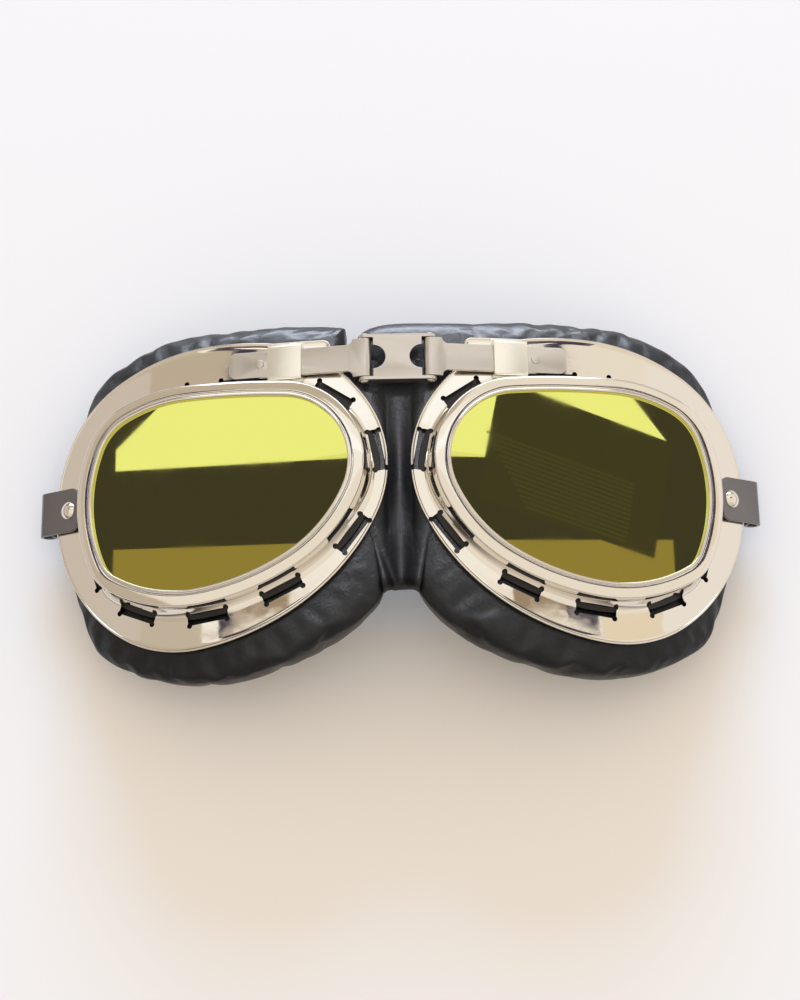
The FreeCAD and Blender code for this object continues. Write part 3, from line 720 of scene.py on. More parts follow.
class BearingCurve:
    """A closed curve round an axis, read by bearing."""

    def __init__(self, columns: np.ndarray) -> None:
        """Put the curve's rows in order of bearing, with a little overlap.

        Args:
            columns: Rows of values along the curve. The first two columns are the place round the axis.
        """
        bearing = np.arctan2(columns[:, 1], columns[:, 0]) % TAU
        order = np.argsort(bearing)
        bearing, columns = bearing[order], columns[order]
        self.bearing = np.concatenate([bearing[-2:] - TAU, bearing, bearing[:2] + TAU])
        self.columns = np.concatenate([columns[-2:], columns, columns[:2]])

    def at(self, bearing: np.ndarray) -> np.ndarray:
        """Rows of values at bearings in radians."""
        return np.stack([np.interp(bearing % TAU, self.bearing, c) for c in self.columns.T], axis=-1)

    def reach(self, bearing: np.ndarray) -> np.ndarray:
        """Distance from the axis at bearings in radians."""
        return np.hypot(*self.at(bearing)[:, :2].T)


@dataclass
class Eyecup:
    """A lens with its ring, the stamped frame round it, and the places that the cushion follows.

    Sizes are in millimetres and are those of the solids. The right eyecup is worked out, and the left one is
    its mirror image.
    """

    side: Side
    lens_width: float = 68.6
    lens_height: float = 50.6
    lens_centre_y: float = -0.4
    lens_rise: float = 6.2
    lens_yaw: float = 12.0
    flange_radius: float = 170.0
    flange_top: float = 40.5
    flange_width: float = 94.6
    flange_height: float = 82.0
    flange_shift: tuple[float, float] = (3.6, 1.2)
    half_gap: float = 2.9
    collar_outer: float = 2.45
    collar_foot: float = 5.2
    collar_lean: float = 0.7
    seat_inner: float = 0.6
    seat_level: float = -2.2
    sheet: float = 0.8
    ring_reach: float = 4.2
    ring_skirt: float = 3.4
    ring_inside: float = 2.5
    ring_low: float = 0.05
    ring_bead: float = 0.4
    ring_shoulder: float = 0.6
    ring_lip: float = 0.25
    ring_face: tuple[tuple[float, float], ...] = (
        (0.86, 0.88), (1.1, 0.94), (1.6, 0.96), (2.2, 0.93), (2.8, 0.85), (3.3, 0.74),
    )
    bend_start: float = 0.72
    bend_reach: float = 1.0
    rim_width: float = 0.8
    rim_section: tuple[tuple[float, float], ...] = (
        (0.66, 0.03), (0.56, 0.11), (0.44, 0.18), (0.3, 0.2), (0.17, 0.16), (0.07, 0.07), (0.02, -0.05),
        (0.0, -0.25), (0.0, -0.75), (0.06, -0.95), (0.25, -1.05), (0.5, -1.0), (0.62, -0.9),
    )
    tab_x: float = -29.4
    tab_y: float = 41.1
    tab_depth: float = 20.0
    tab_round: float = 2.0
    vent_half: float = 5.9
    vent_half_width: float = 1.45
    vent_offset: float = 6.15
    vent_tuck: float = 0.8
    vent_lobe: float = 0.72
    vent_waist: float = 0.7
    vent_below: float = 4.0
    vent_above: float = 5.0
    stations: int = 256
    lens_shares: tuple[float, ...] = (0.60, 0.20, 0.53, 2.80, 0.28, 0.25, 0.53, 0.92, 0.53, 0.11)
    flange_shares: tuple[float, ...] = (0.42, 0.36, 0.69, 1.15, 0.40, 0.34, 0.60, 0.67, 0.38, 0.50)
    vent_shares: tuple[float, ...] = (
        0.02, 0.10, 0.18, 0.27, 0.366, 0.485, 0.5615, 0.657, 0.7605, 0.858, 0.948,
    )

    @property
    def body(self) -> str:
        """The moving body that the eyecup's pieces ride on."""
        return f"{self.side.word}_eyecup"

    @cached_property
    def axis_z(self) -> float:
        """Height of the axis that the flange curves round."""
        return self.flange_top - self.flange_radius

    @cached_property
    def pad_lean(self) -> float:
        """Angle of the eyecup's middle round the flange's axis, in radians."""
        nose_reach = self.flange_width / 2 - self.flange_shift[0]
        return math.asin(self.half_gap / self.flange_radius) + math.asin(nose_reach / self.flange_radius)

    @cached_property
    def lens_outline(self) -> Outline:
        """Edge of the clear opening."""
        return Outline(self.lens_width, self.lens_height, self.lens_shares)

    def hand(self, points: np.ndarray) -> np.ndarray:
        """Right-hand points, mirrored for the left eyecup."""
        return points * np.array([self.side.value, 1, 1])

    def on_flange(self, u: np.ndarray, y: np.ndarray, rise: np.ndarray | float = 0.0) -> np.ndarray:
        """Points over the flange's face.

        Args:
            u: Place down the slope from the eyecup's middle.
            y: Place up the forehead from the lens's middle.
            rise: Height over the face.

        Returns:
            Points of the right eyecup.
        """
        lean = self.pad_lean + np.arcsin(u / self.flange_radius)
        radius = self.flange_radius + rise
        return np.stack(
            [radius * np.sin(lean), self.lens_centre_y + y + 0 * lean, self.axis_z + radius * np.cos(lean)],
            axis=-1,
        )

    def on_lens(self, plan: np.ndarray, height: np.ndarray | float) -> np.ndarray:
        """Points over the lens's face, of the right eyecup.

        Args:
            plan: Rows of across and up places on the lens.
            height: Height over the lens's face.

        Returns:
            Points of the right eyecup.
        """
        yaw = math.radians(self.lens_yaw)
        base = self.on_flange(np.array(0.0), np.array(0.0)) + np.array([0, 0, self.lens_rise])
        across, up = plan[..., 0], plan[..., 1]
        return np.stack(
            [
                base[0] + across * math.cos(yaw) + height * math.sin(yaw),
                base[1] + up + 0 * across,
                base[2] - across * math.sin(yaw) + height * math.cos(yaw),
            ],
            axis=-1,
        )

    def flange_level(self, plan: np.ndarray) -> np.ndarray:
        """Height of the flange's face at places on the lens, measured from the lens's face.

        Args:
            plan: Rows of across and up places on the lens.

        Returns:
            Heights, which are negative.
        """
        yaw = math.radians(self.lens_yaw)
        low = self.on_lens(plan, 0.0) - np.array([0, 0, self.axis_z])
        half = low[..., 0] * math.sin(yaw) + low[..., 2] * math.cos(yaw)
        return -half + np.sqrt(half**2 - low[..., 0] ** 2 - low[..., 2] ** 2 + self.flange_radius**2)

    def to_flange(self, points: np.ndarray) -> np.ndarray:
        """Down-slope and up places of points on the flange."""
        lean = np.arctan2(points[..., 0], points[..., 2] - self.axis_z)
        return np.stack(
            [self.flange_radius * np.sin(lean - self.pad_lean), points[..., 1] - self.lens_centre_y], axis=-1
        )

    def collar_curve(self, offset: float, lean: float = 0.0) -> BearingCurve:
        """Foot of the collar on the flange.

        Args:
            offset: How far it stands outside the clear opening.
            lean: How much further it stands out at the temple, and less at the nose.

        Returns:
            The foot on the flange, the place and direction on the lens that it stands under, and its offset.
        """
        turns = self.lens_outline.turn_at(np.linspace(0, 1, 2400, endpoint=False))
        direction = Outline.heading(turns)
        out = offset + lean * direction[:, 0]
        plan = self.lens_outline.at(turns, out)
        foot = self.to_flange(self.on_lens(plan, self.flange_level(plan)))
        return BearingCurve(np.hstack([foot, plan, direction, out[:, None]]))

    def tab_reach(self, bearing: np.ndarray) -> np.ndarray:
        """Distance to the far edge of the squared tab under the bridge arm, or nothing off the tab.

        Args:
            bearing: Bearings in radians.

        Returns:
            Distances from the eyecup's middle.
        """
        cosine, sine = np.cos(bearing), np.sin(bearing)
        reach = np.zeros_like(bearing)
        for i in np.flatnonzero((cosine < 0) & (sine > 0)):
            out = min(self.tab_x / cosine[i], self.tab_y / sine[i])
            x, y = out * cosine[i], out * sine[i]
            if y < self.tab_y - self.tab_depth:
                continue
            centre = np.array([self.tab_x + self.tab_round, self.tab_y - self.tab_round])
            if x < centre[0] and y > centre[1]:
                along = centre @ np.array([cosine[i], sine[i]])
                out = along + math.sqrt(max(0.0, self.tab_round**2 - centre @ centre + along**2))
            reach[i] = out
        return reach

    @cached_property
    def rim_curve(self) -> BearingCurve:
        """Outer edge of the flange with its tab."""
        outline = Outline(self.flange_width, self.flange_height, self.flange_shares)
        turns = outline.turn_at(np.linspace(0, 1, 3600, endpoint=False))
        plain = BearingCurve(outline.at(turns) + np.array(self.flange_shift))
        bearing = np.linspace(0, TAU, 7200, endpoint=False)
        reach = np.maximum(plain.reach(bearing), self.tab_reach(bearing))
        return BearingCurve(np.stack([reach * np.cos(bearing), reach * np.sin(bearing)], axis=-1))

    def bearings(self, count: int, corner_mm: float = 5.0) -> np.ndarray:
        """Bearings of stations along the flange's edge, closer together round its corners.

        Args:
            count: Number of stations.
            corner_mm: Length of straight edge that a turn of one radian counts for.

        Returns:
            Bearings in radians, going round once.
        """
        dense = np.linspace(0, TAU, 7201)
        steps = np.diff(self.rim_curve.at(dense), axis=0)
        heading = np.unwrap(np.arctan2(steps[:, 1], steps[:, 0]))
        turning = np.abs(np.diff(heading, append=heading[0] + TAU))
        along = np.concatenate([[0], np.cumsum(np.hypot(*steps.T) + corner_mm * turning)])
        return np.interp(np.linspace(0, along[-1], count, endpoint=False), along, dense)

    def make_ring(self) -> bpy.types.Object:
        """Lens ring: a bead round the opening, a sloping face, a rounded edge and a skirt over the collar.

        Returns:
            The ring.
        """
        edge, skirt = self.ring_reach, self.ring_skirt
        low, inside = self.ring_low, self.ring_inside
        bead, shoulder, lip = self.ring_bead, self.ring_shoulder, self.ring_lip
        section = [(0.0, low), (0.0, 0.55)]
        section += arc(bead, 0.78, bead, 180, 20, 10)
        section += self.ring_face
        section += arc(edge - shoulder, low, shoulder, 72, 0, 8)
        section += [(edge, -1.2), (edge, -2.4)]
        section += arc(edge - lip, lip - skirt, lip, 0, -90, 4)
        section += [(2.9, -skirt), (inside, -skirt), (inside, -1.5), (inside, low), (1.2, low)]
        turns = self.lens_outline.turn_at(np.linspace(0, 1, self.stations, endpoint=False))
        rows = [self.on_lens(self.lens_outline.at(turns, reach), height) for reach, height in section]
        ring = skin_ring(f"{self.side.word}_lens_ring_bead", self.hand(np.stack(rows, axis=1)))
        shade(ring, SHARP_RING)
        CHROME.coat(ring)
        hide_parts(f"{self.side.word}_lens_ring")
        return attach(ring, self.body)

    def make_frame(self) -> bpy.types.Object:
        """Stamped frame: lens seat, flared collar, bend, curved flange and rolled rim, with vents cut out.

        Returns:
            The frame.
        """
        bearing = self.bearings(self.stations)
        foot = self.collar_curve(self.collar_foot, self.collar_lean).at(bearing)
        inner, plan, normal, foot_offset = foot[:, :2], foot[:, 2:4], foot[:, 4:6], foot[:, 6]
        span = self.rim_curve.at(bearing) - inner
        length = np.hypot(*span.T)
        level = self.flange_level(plan)

        def flange_row(out: np.ndarray | float, rise: float) -> np.ndarray:
            """Points at a distance out from the collar's foot, over the flange."""
            place = inner + span * (out / length)[:, None]
            return self.on_flange(place[:, 0], place[:, 1], rise)

        def collar_row(offset: np.ndarray | float, height: np.ndarray | float) -> np.ndarray:
            """Points at an offset from the clear opening, over the lens's face."""
            return self.on_lens(plan - normal * (foot_offset - offset)[:, None], height + 0 * level)

        under = -self.ring_skirt - 0.1

        def slope(share: float) -> np.ndarray:
            """Points a share of the way down the flared collar."""
            offset = self.collar_outer + (foot_offset - self.collar_outer) * share
            return collar_row(offset, under + (level - under) * share)

        rows = [collar_row(self.collar_outer, height) for height in (self.seat_level, -2.8, under)]
        rows += [slope(share) for share in (0.15, 0.4, 0.6)]
        first, corner, last = slope(self.bend_start), slope(1.0), flange_row(self.bend_reach, 0.0)
        for share in np.linspace(0, 1, 7):
            rows.append(first * (1 - share) ** 2 + corner * 2 * share * (1 - share) + last * share**2)
        for share in np.linspace(0, 1, 10)[1:]:
            flat = length - self.bend_reach - self.rim_width
            rows.append(flange_row(self.bend_reach + flat * share, 0.0))
        rim = [*self.rim_section, (self.rim_width, -self.sheet)]
        rows += [flange_row(length - inset, rise) for inset, rise in rim]
        rows += [flange_row(length * share, -self.sheet) for share in (0.6, 0.25)]
        rows.append(collar_row(foot_offset - self.sheet, level - 0.5))
        rows.append(collar_row(self.collar_outer - self.sheet, under - 0.6))
        below = self.seat_level - self.sheet
        rows.append(collar_row(self.collar_outer - self.sheet, below))
        rows += [collar_row(self.seat_inner, height) for height in (below, self.seat_level)]
        piece = skin_ring(f"{self.side.word}_frame_stamping", self.hand(np.stack(rows, axis=1)))
        cutter = self.make_vent_cutters()
        apply_modifier(piece, "BOOLEAN", object=cutter, operation="DIFFERENCE", solver="MANIFOLD")
        bpy.data.objects.remove(cutter)
        shade(piece, SHARP_STAMPING)
        CHROME.coat(piece)
        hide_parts(f"{self.side.word}_frame")
        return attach(piece, self.body)

    def make_vent_cutters(self) -> bpy.types.Object:
        """Dog-bone prisms through the bend between collar and flange, as one object.

        Returns:
            The prisms.
        """
        half, width, lobe = self.vent_half, self.vent_half_width, self.vent_lobe
        corner = arc(half - self.vent_waist, width, lobe, -60, 180, 14)
        outline = corner + [(-x, y) for x, y in corner[::-1]]
        outline += [(-x, -y) for x, y in outline]
        flat = np.array(outline)
        turns = self.lens_outline.turn_at(np.array(self.vent_shares))
        made = []
        for turn in turns:
            tucked = self.vent_tuck * max(0.0, math.sin(math.radians(turn)))
            middle = self.lens_outline.at(np.array([turn]), self.vent_offset - tucked)[0]
            plan = middle + Outline.heading(turn + 90) * flat[:, :1] + Outline.heading(turn) * flat[:, 1:]
            level = float(self.flange_level(middle))
            low, high = level - self.vent_below, level + self.vent_above
            clear_selection()
            bpy.ops.mesh.primitive_circle_add(vertices=len(outline), fill_type="NGON")
            prism = bpy.context.object
            set_points(prism, self.hand(self.on_lens(plan, low)))
            push = self.on_lens(middle, high) - self.on_lens(middle, low)
            bpy.ops.object.mode_set(mode="EDIT")
            bpy.ops.mesh.select_all(action="SELECT")
            bpy.ops.mesh.extrude_region_move(
                TRANSFORM_OT_translate={"value": tuple(self.hand(push) * MM)}
            )
            bpy.ops.object.mode_set(mode="OBJECT")
            face_outwards(prism)
            made.append(prism)
        clear_selection()
        for prism in made:
            prism.select_set(True)
        bpy.context.view_layer.objects.active = made[0]
        bpy.ops.object.join()
        return made[0]

    def dress_lens(self) -> None:
        """Finishes of the lens and of the hidden ring and gasket, whose solids stay."""
        for part, finish in (("lens", MIRROR), ("lens_gasket", RUBBER), ("mask_clamp", PHOSPHATE)):
            finish.coat(frame["nodes"][f"{self.side.word}_{part}"])

    def build(self) -> list[bpy.types.Object]:
        """Build and dress the eyecup's hard pieces.

        Returns:
            The ring and the frame.
        """
        self.dress_lens()
        return [self.make_ring(), self.make_frame()]


@dataclass
class Cushion:
    """Leather cushion behind a flange, closed all round, with gathers along its edges.

    Sizes are in millimetres. Depth is measured back from the flange's face.
    """

    cup: Eyecup
    width: float = 100.0
    height: float = 95.0
    shift: tuple[float, float] = (0.2, 0.4)
    depth: float = 18.6
    front: float = 1.7
    widest: float = 5.6
    opening: float = 3.4
    nose_u: float = -43.5
    bay_u: float = -32.6
    bay_y: float = 28.3
    front_gap: float = 0.1
    rim_tuck: float = 0.6
    seam_inset: float = 5.0
    inner_round: float = 2.0
    gather: float = 0.25
    off_floor: float = 0.02
    swell_rows: int = 12
    sewn_front: int = 2
    sewn_back: int = 3
    stations: int = 256
    shares: tuple[float, ...] = (0.83, 0.17, 0.60, 3.00, 0.13, 0.68, 0.30, 0.83, 0.58, 0.16)

    @cached_property
    def outline(self) -> BearingCurve:
        """The cushion's own outline where it is widest."""
        outline = Outline(self.width, self.height, self.shares)
        turns = outline.turn_at(np.linspace(0, 1, 3600, endpoint=False))
        return BearingCurve(outline.at(turns) + np.array(self.shift))

    def side_reach(self, bearing: np.ndarray) -> np.ndarray:
        """Distance to the cushion's side where it is widest, kept off the nose and the brow pad.

        Args:
            bearing: Bearings in radians.

        Returns:
            Distances from the eyecup's middle.
        """
        cosine, sine = np.cos(bearing), np.sin(bearing)
        nosewards = cosine < -0.05
        limit = np.where(nosewards, self.nose_u / np.where(nosewards, cosine, -1), np.inf)
        wall = np.where(nosewards, self.bay_u / np.where(nosewards, cosine, -1), np.inf)
        roof = np.where(sine > 0.05, self.bay_y / np.where(sine > 0.05, sine, 1), np.inf)
        return np.minimum(self.outline.reach(bearing), np.minimum(limit, np.maximum(wall, roof)))

    def free(self, bearing: np.ndarray) -> np.ndarray:
        """How far the cushion's side is clear of the nose and the brow pad, from 0 to 1.

        Args:
            bearing: Bearings in radians.

        Returns:
            Shares from 0 to 1, which change softly.
        """
        clear = self.outline.reach(bearing) - self.side_reach(bearing) < 0.2
        kernel = np.hanning(15) / np.hanning(15).sum()
        wide = np.convolve(np.concatenate([clear[-7:], clear, clear[:7]]).astype(float), kernel, "valid")
        return np.where(clear, wide, 0.0)

    def gathers(self, bearing: np.ndarray) -> np.ndarray:
        """Uneven gathers of the leather along the back seam, from about -1 to 1.

        Args:
            bearing: Bearings in radians.

        Returns:
            How far each bearing swells.
        """
        draw = np.random.default_rng(5 + self.cup.side.value)
        waves, starts = draw.integers(9, 44, 12), draw.uniform(0, TAU, 12)
        return sum(np.sin(bearing * count + start) for count, start in zip(waves, starts)) / 4.5

    def front_depth(self, u: np.ndarray, y: np.ndarray) -> np.ndarray:
        """Depth of the cushion's front at places on the flange, deep where there is no cushion.

        Args:
            u: Places down the slope from the eyecup's middle.
            y: Places up the forehead.

        Returns:
            Depths behind the flange's face.
        """
        bearing, reach = np.arctan2(y, u) % TAU, np.hypot(u, y)
        side = self.side_reach(bearing)
        tuck = np.minimum(self.cup.rim_curve.reach(bearing), side) - self.rim_tuck
        share = np.clip((reach - tuck) / (side - tuck), 0, 1)
        depth = self.front + self.front_gap + (self.widest - self.front) * (1 - np.sqrt(1 - share**2))
        return np.where(reach > side, 12.0, depth)

    def grid(self) -> tuple[np.ndarray, np.ndarray]:
        """Sections of the cushion round the lens axis, of the right eyecup.

        Returns:
            Points in millimetres, and how firmly each is sewn down.
        """
        cup = self.cup
        bearing = cup.bearings(self.stations)
        rim = cup.rim_curve.reach(bearing)
        side = self.side_reach(bearing)
        eye = cup.collar_curve(self.opening).reach(bearing)
        tuck = np.minimum(rim, side) - self.rim_tuck
        free, gathers = self.free(bearing), self.gathers(bearing)
        back = side - self.seam_inset
        rows: list[tuple[np.ndarray, np.ndarray | float, float]] = [
            (eye + 0.3, self.front, 1.0),
            (tuck - 2.0, self.front, 1.0),
        ]
        for count, turn in enumerate(np.radians(np.linspace(0, 90, self.swell_rows))):
            rise = (self.widest - self.front) * (1 - math.cos(turn))
            pleat = self.gather * 0.5 * gathers * free * math.sin(turn) ** 2
            reach = tuck + (side - tuck) * math.sin(turn) + pleat
            rows.append((reach, self.front + self.front_gap + rise, float(count < self.sewn_front)))
        for count, turn in enumerate(np.radians(np.linspace(8, 90, self.swell_rows))):
            pleat = self.gather * gathers * free * (0.5 + 0.5 * math.sin(2 * turn))
            level = self.widest + (self.depth - self.widest) * math.sin(turn)
            reach = side - self.seam_inset * (1 - math.cos(turn)) + pleat
            rows.append((reach, level, float(count >= self.swell_rows - self.sewn_back)))
        for share in (0.25, 0.5, 0.75):
            rows.append((back + (eye + 1.5 - back) * share, self.depth, 1.0))
        for turn in np.radians(np.linspace(0, 90, 5)):
            edge = self.inner_round * (1 - math.cos(turn))
            rows.append((eye + self.inner_round * (1 - math.sin(turn)), self.depth - edge, 1.0))
        low = self.depth - self.inner_round
        rows += [(eye, low + (self.front - low) * share, 1.0) for share in (0.25, 0.5, 0.75)]
        points, held = [], []
        for reach, depth, sewn in rows:
            points.append(cup.on_flange(reach * np.cos(bearing), reach * np.sin(bearing), -depth))
            held.append(np.maximum(sewn, 1 - free))
        grid, hold = np.stack(points, axis=1), np.stack(held, axis=1)
        grid[..., 2] = np.maximum(grid[..., 2], self.off_floor)
        return grid, hold

    def keep_clear(self, piece: bpy.types.Object) -> None:
        """Press the leather back under the rim and up off the floor where it has swollen past them.

        Args:
            piece: The cushion.
        """
        cup = self.cup
        points = cup.hand(get_points(piece))
        place = cup.to_flange(points)
        from_axis = np.hypot(points[:, 0], points[:, 2] - cup.axis_z)
        bearing = np.arctan2(place[:, 1], place[:, 0])
        under_rim = np.hypot(*place.T) < cup.rim_curve.reach(bearing) + 0.2
        highest = np.where(under_rim, cup.flange_radius - 1.3, cup.flange_radius - 0.4)
        pull = np.minimum(1, highest / from_axis)
        points[:, 0] *= pull
        points[:, 2] = cup.axis_z + (points[:, 2] - cup.axis_z) * pull
        points[:, 2] = np.maximum(points[:, 2], self.off_floor)
        set_points(piece, cup.hand(points))

    def build(self) -> bpy.types.Object:
        """Build, settle and dress the cushion.

        Returns:
            The cushion.
        """
        word = self.cup.side.word
        grid, hold = self.grid()
        piece = skin_ring(f"{word}_eye_cushion", self.cup.hand(grid))
        settle(piece, hold.ravel(), slack=0.012, pressure=6.0, cap_mm=1.8)
        self.keep_clear(piece)
        apply_modifier(piece, "SUBSURF", levels=1, render_levels=1)
        shade(piece, SHARP_LEATHER)
        LEATHER.coat(piece)
        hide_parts(f"{word}_pad_cover", f"{word}_pad_foam")
        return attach(piece, self.cup.body)


@dataclass
class MaskCentre:
    """Leather between the cushions: a puffy brow pad behind the bridge, and a saddle over the nose.

    Sizes are in millimetres.
    """

    brow_half: float = 14.0
    brow_far: float = 33.0
    brow_low: float = 28.2
    brow_top: float = 47.3
    brow_front: float = 38.5
    brow_back: float = 23.0
    brow_taper: float = 0.3
    brow_lap_y: float = 36.0
    brow_powers: tuple[float, float, float] = (0.5, 0.7, 0.7)
    brow_bend: tuple[float, float] = (6.0, 16.0)
    saddle_low: float = -25.2
    saddle_top: float = 35.0
    saddle_tuck: float = 2.0
    saddle_halves: tuple[tuple[float, float], ...] = ((-25.2, 4.6), (-12.0, 7.1), (-7.2, 9.7), (28.0, 22.0))
    saddle_bend: float = 3.0
    saddle_arch: float = 0.07
    valley: tuple[float, float] = (5.6, 3.2)
    valley_half: float = 9.0
    nose_turns: tuple[float, float] = (0.6, 1.35)
    sunk_share: float = 0.35
    lap: float = 0.35
    soften: float = 2.0
    lip: float = 3.0
    tuck_depth: float = 1.35
    crease: tuple[tuple[float, float], tuple[float, float]] = ((-7.5, -10.0), (-1.5, -26.0))
    crease_depth: float = 1.1
    crease_width: float = 0.7
    leather: float = 1.4

    def make_brow(self, cup: Eyecup) -> bpy.types.Object:
        """Brow pad, a stuffed roll that follows the flanges' curve and laps over the right cushion.

        Args:
            cup: The right eyecup, whose flange the roll stays behind.

        Returns:
            The roll.
        """
        clear_selection()
        bpy.ops.mesh.primitive_uv_sphere_add(
            segments=112, ring_count=64, radius=1.0, rotation=(0, math.pi / 2, 0)
        )
        bpy.ops.object.transform_apply(location=True, rotation=True, scale=True)
        piece = bpy.context.object
        piece.name = piece.data.name = "brow_roll"
        ball = get_points(piece) * MM
        swollen = np.sign(ball) * np.abs(ball) ** np.array(self.brow_powers)
        low = np.array([-self.brow_half, self.brow_low, self.brow_back - cup.axis_z])
        high = np.array([self.brow_far, self.brow_top, self.brow_front - cup.axis_z])
        along, y, radius = (swollen * (high - low) / 2 + (high + low) / 2).T
        y = np.where(along > self.brow_half, np.maximum(y, self.brow_lap_y), y)
        along += self.brow_taper * (high[2] - radius) * np.clip(-along / self.brow_half, 0, 1)
        lean = along / cup.flange_radius
        set_points(piece, np.stack([radius * np.sin(lean), y, cup.axis_z + radius * np.cos(lean)], axis=-1))
        ends, chinwards, back = np.abs(ball[:, 0]) > 0.93, ball[:, 1] < -0.3, ball[:, 2] < -0.2
        held = np.where(ends | chinwards | back, 1.0, 0.0)
        settle(piece, held, slack=0.003, pressure=6.0, cap_mm=1.0)
        apply_modifier(piece, "SUBSURF", levels=1, render_levels=1)
        shade(piece, SHARP_LEATHER)
        LEATHER.coat(piece)
        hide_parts("mask_centre")
        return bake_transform(piece)

    def saddle_points(self, cushion: Cushion, plan: np.ndarray) -> np.ndarray:
        """Front of the saddle, a soft valley that laps over the cushions.

        Args:
            cushion: The right cushion, whose front the saddle lies on.
            plan: Rows of places across and along the saddle, each from -1 to 1.

        Returns:
            Points of the saddle's front.
        """
        cup = cushion.cup
        along = (plan[:, 1] + 1) / 2
        turns = np.linspace(*(share * math.pi for share in self.nose_turns), 600)
        edge = cup.on_flange(*cup.rim_curve.at(turns).T)
        order = np.argsort(edge[:, 1])
        y = self.saddle_low + (self.saddle_top - self.saddle_low) * along
        half = np.interp(y, edge[order, 1], edge[order, 0]) + self.saddle_tuck
        half = np.minimum(half, np.interp(y, *np.array(self.saddle_halves).T))
        x = plan[:, 0] * half
        y -= self.saddle_arch * x**2 * (1 - along) ** 4
        lean = np.abs(x) / cup.flange_radius
        down = cup.flange_radius * np.sin(lean - cup.pad_lean)
        on_pad = cushion.front_depth(down, y - cup.lens_centre_y) - self.lap * (1 - plan[:, 0] ** 4)
        deep = self.valley[0] + (self.valley[1] - self.valley[0]) * along
        hang = 0.5 + 0.5 * np.cos(math.pi * np.clip(np.abs(x) / np.minimum(half, self.valley_half), 0, 1))
        floor = self.tuck_depth + (deep - self.tuck_depth) * hang
        mix = np.clip(0.5 + 0.5 * (on_pad - floor) / self.soften, 0, 1)
        depth = on_pad * (1 - mix) + floor * mix - self.soften / 2 * mix * (1 - mix)
        (x0, y0), (x1, y1) = self.crease
        run = ((x - x0) * (x1 - x0) + (y - y0) * (y1 - y0)) / ((x1 - x0) ** 2 + (y1 - y0) ** 2)
        run = np.clip(run, 0, 1)
        off_line = np.hypot(x - x0 - run * (x1 - x0), y - y0 - run * (y1 - y0))
        depth += plan[:, 0] ** 6 * np.clip(1 - along / self.sunk_share, 0, 1)
        depth += self.crease_depth * run * np.exp(-((off_line / self.crease_width) ** 2))
        lip = np.clip(1 - (self.saddle_top - self.saddle_low) * along / self.lip, 0, 1)
        depth = np.maximum(depth, self.tuck_depth) + self.lip * (1 - np.sqrt(1 - lip**2))
        radius = cup.flange_radius - depth
        turn = np.sign(x) * lean
        return np.stack([radius * np.sin(turn), y, cup.axis_z + radius * np.cos(turn)], axis=-1)

    def make_saddle(self, cushion: Cushion, side: Side) -> bpy.types.Object:
        """Half of the saddle over the nose, from its middle to under one flange.

        Args:
            cushion: The right cushion, whose front the saddle lies on.
            side: The half to make.

        Returns:
            The half.
        """
        clear_selection()
        bpy.ops.mesh.primitive_grid_add(x_subdivisions=26, y_subdivisions=96, size=2.0)
        piece = bpy.context.object
        piece.name = piece.data.name = f"{side.word}_nose_saddle"
        plan = get_points(piece)[:, :2] * MM
        plan[:, 0] = (plan[:, 0] + side.value) / 2
        set_points(piece, self.saddle_points(cushion, plan))
        apply_modifier(piece, "SOLIDIFY", thickness=self.leather * MM, offset=-1.0)
        face_outwards(piece)
        shade(piece, SHARP_LEATHER)
        LEATHER.coat(piece)
        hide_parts("mask_centre")
        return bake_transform(piece)

    def build(self, cushion: Cushion) -> list[bpy.types.Object]:
        """Build and dress both pieces, the saddle to the right cushion's front and its mirror image."""
        return [self.make_brow(cushion.cup)] + [self.make_saddle(cushion, side) for side in Side]


@dataclass
class Fittings:
    """The bridge and the strap eyes: small metal parts that keep their solids' shape, with softened edges."""

    edge_mm: float = 0.16

    def build(self) -> list[bpy.types.Object]:
        """Build and dress the fittings of both sides and the link between them.

        Returns:
            The fittings.
        """
        finishes = {
            "bridge_clip": SATIN,
            "hinge_pin": CHROME,
            "strap_rivet": CHROME,
            "bridge_arm": NICKEL,
            # The loops get the darker nickel, which is painted shade.
            "strap_loop": NICKEL_PAINTED_SHADE,
        }
        dressed = {f"{side.word}_{part}": finish for side in Side for part, finish in finishes.items()}
        dressed["bridge_link"] = NICKEL
        made = []
        for node, finish in dressed.items():
            piece = from_cad(node, self.edge_mm)
            finish.coat(piece)
            made.append(piece)
        return made


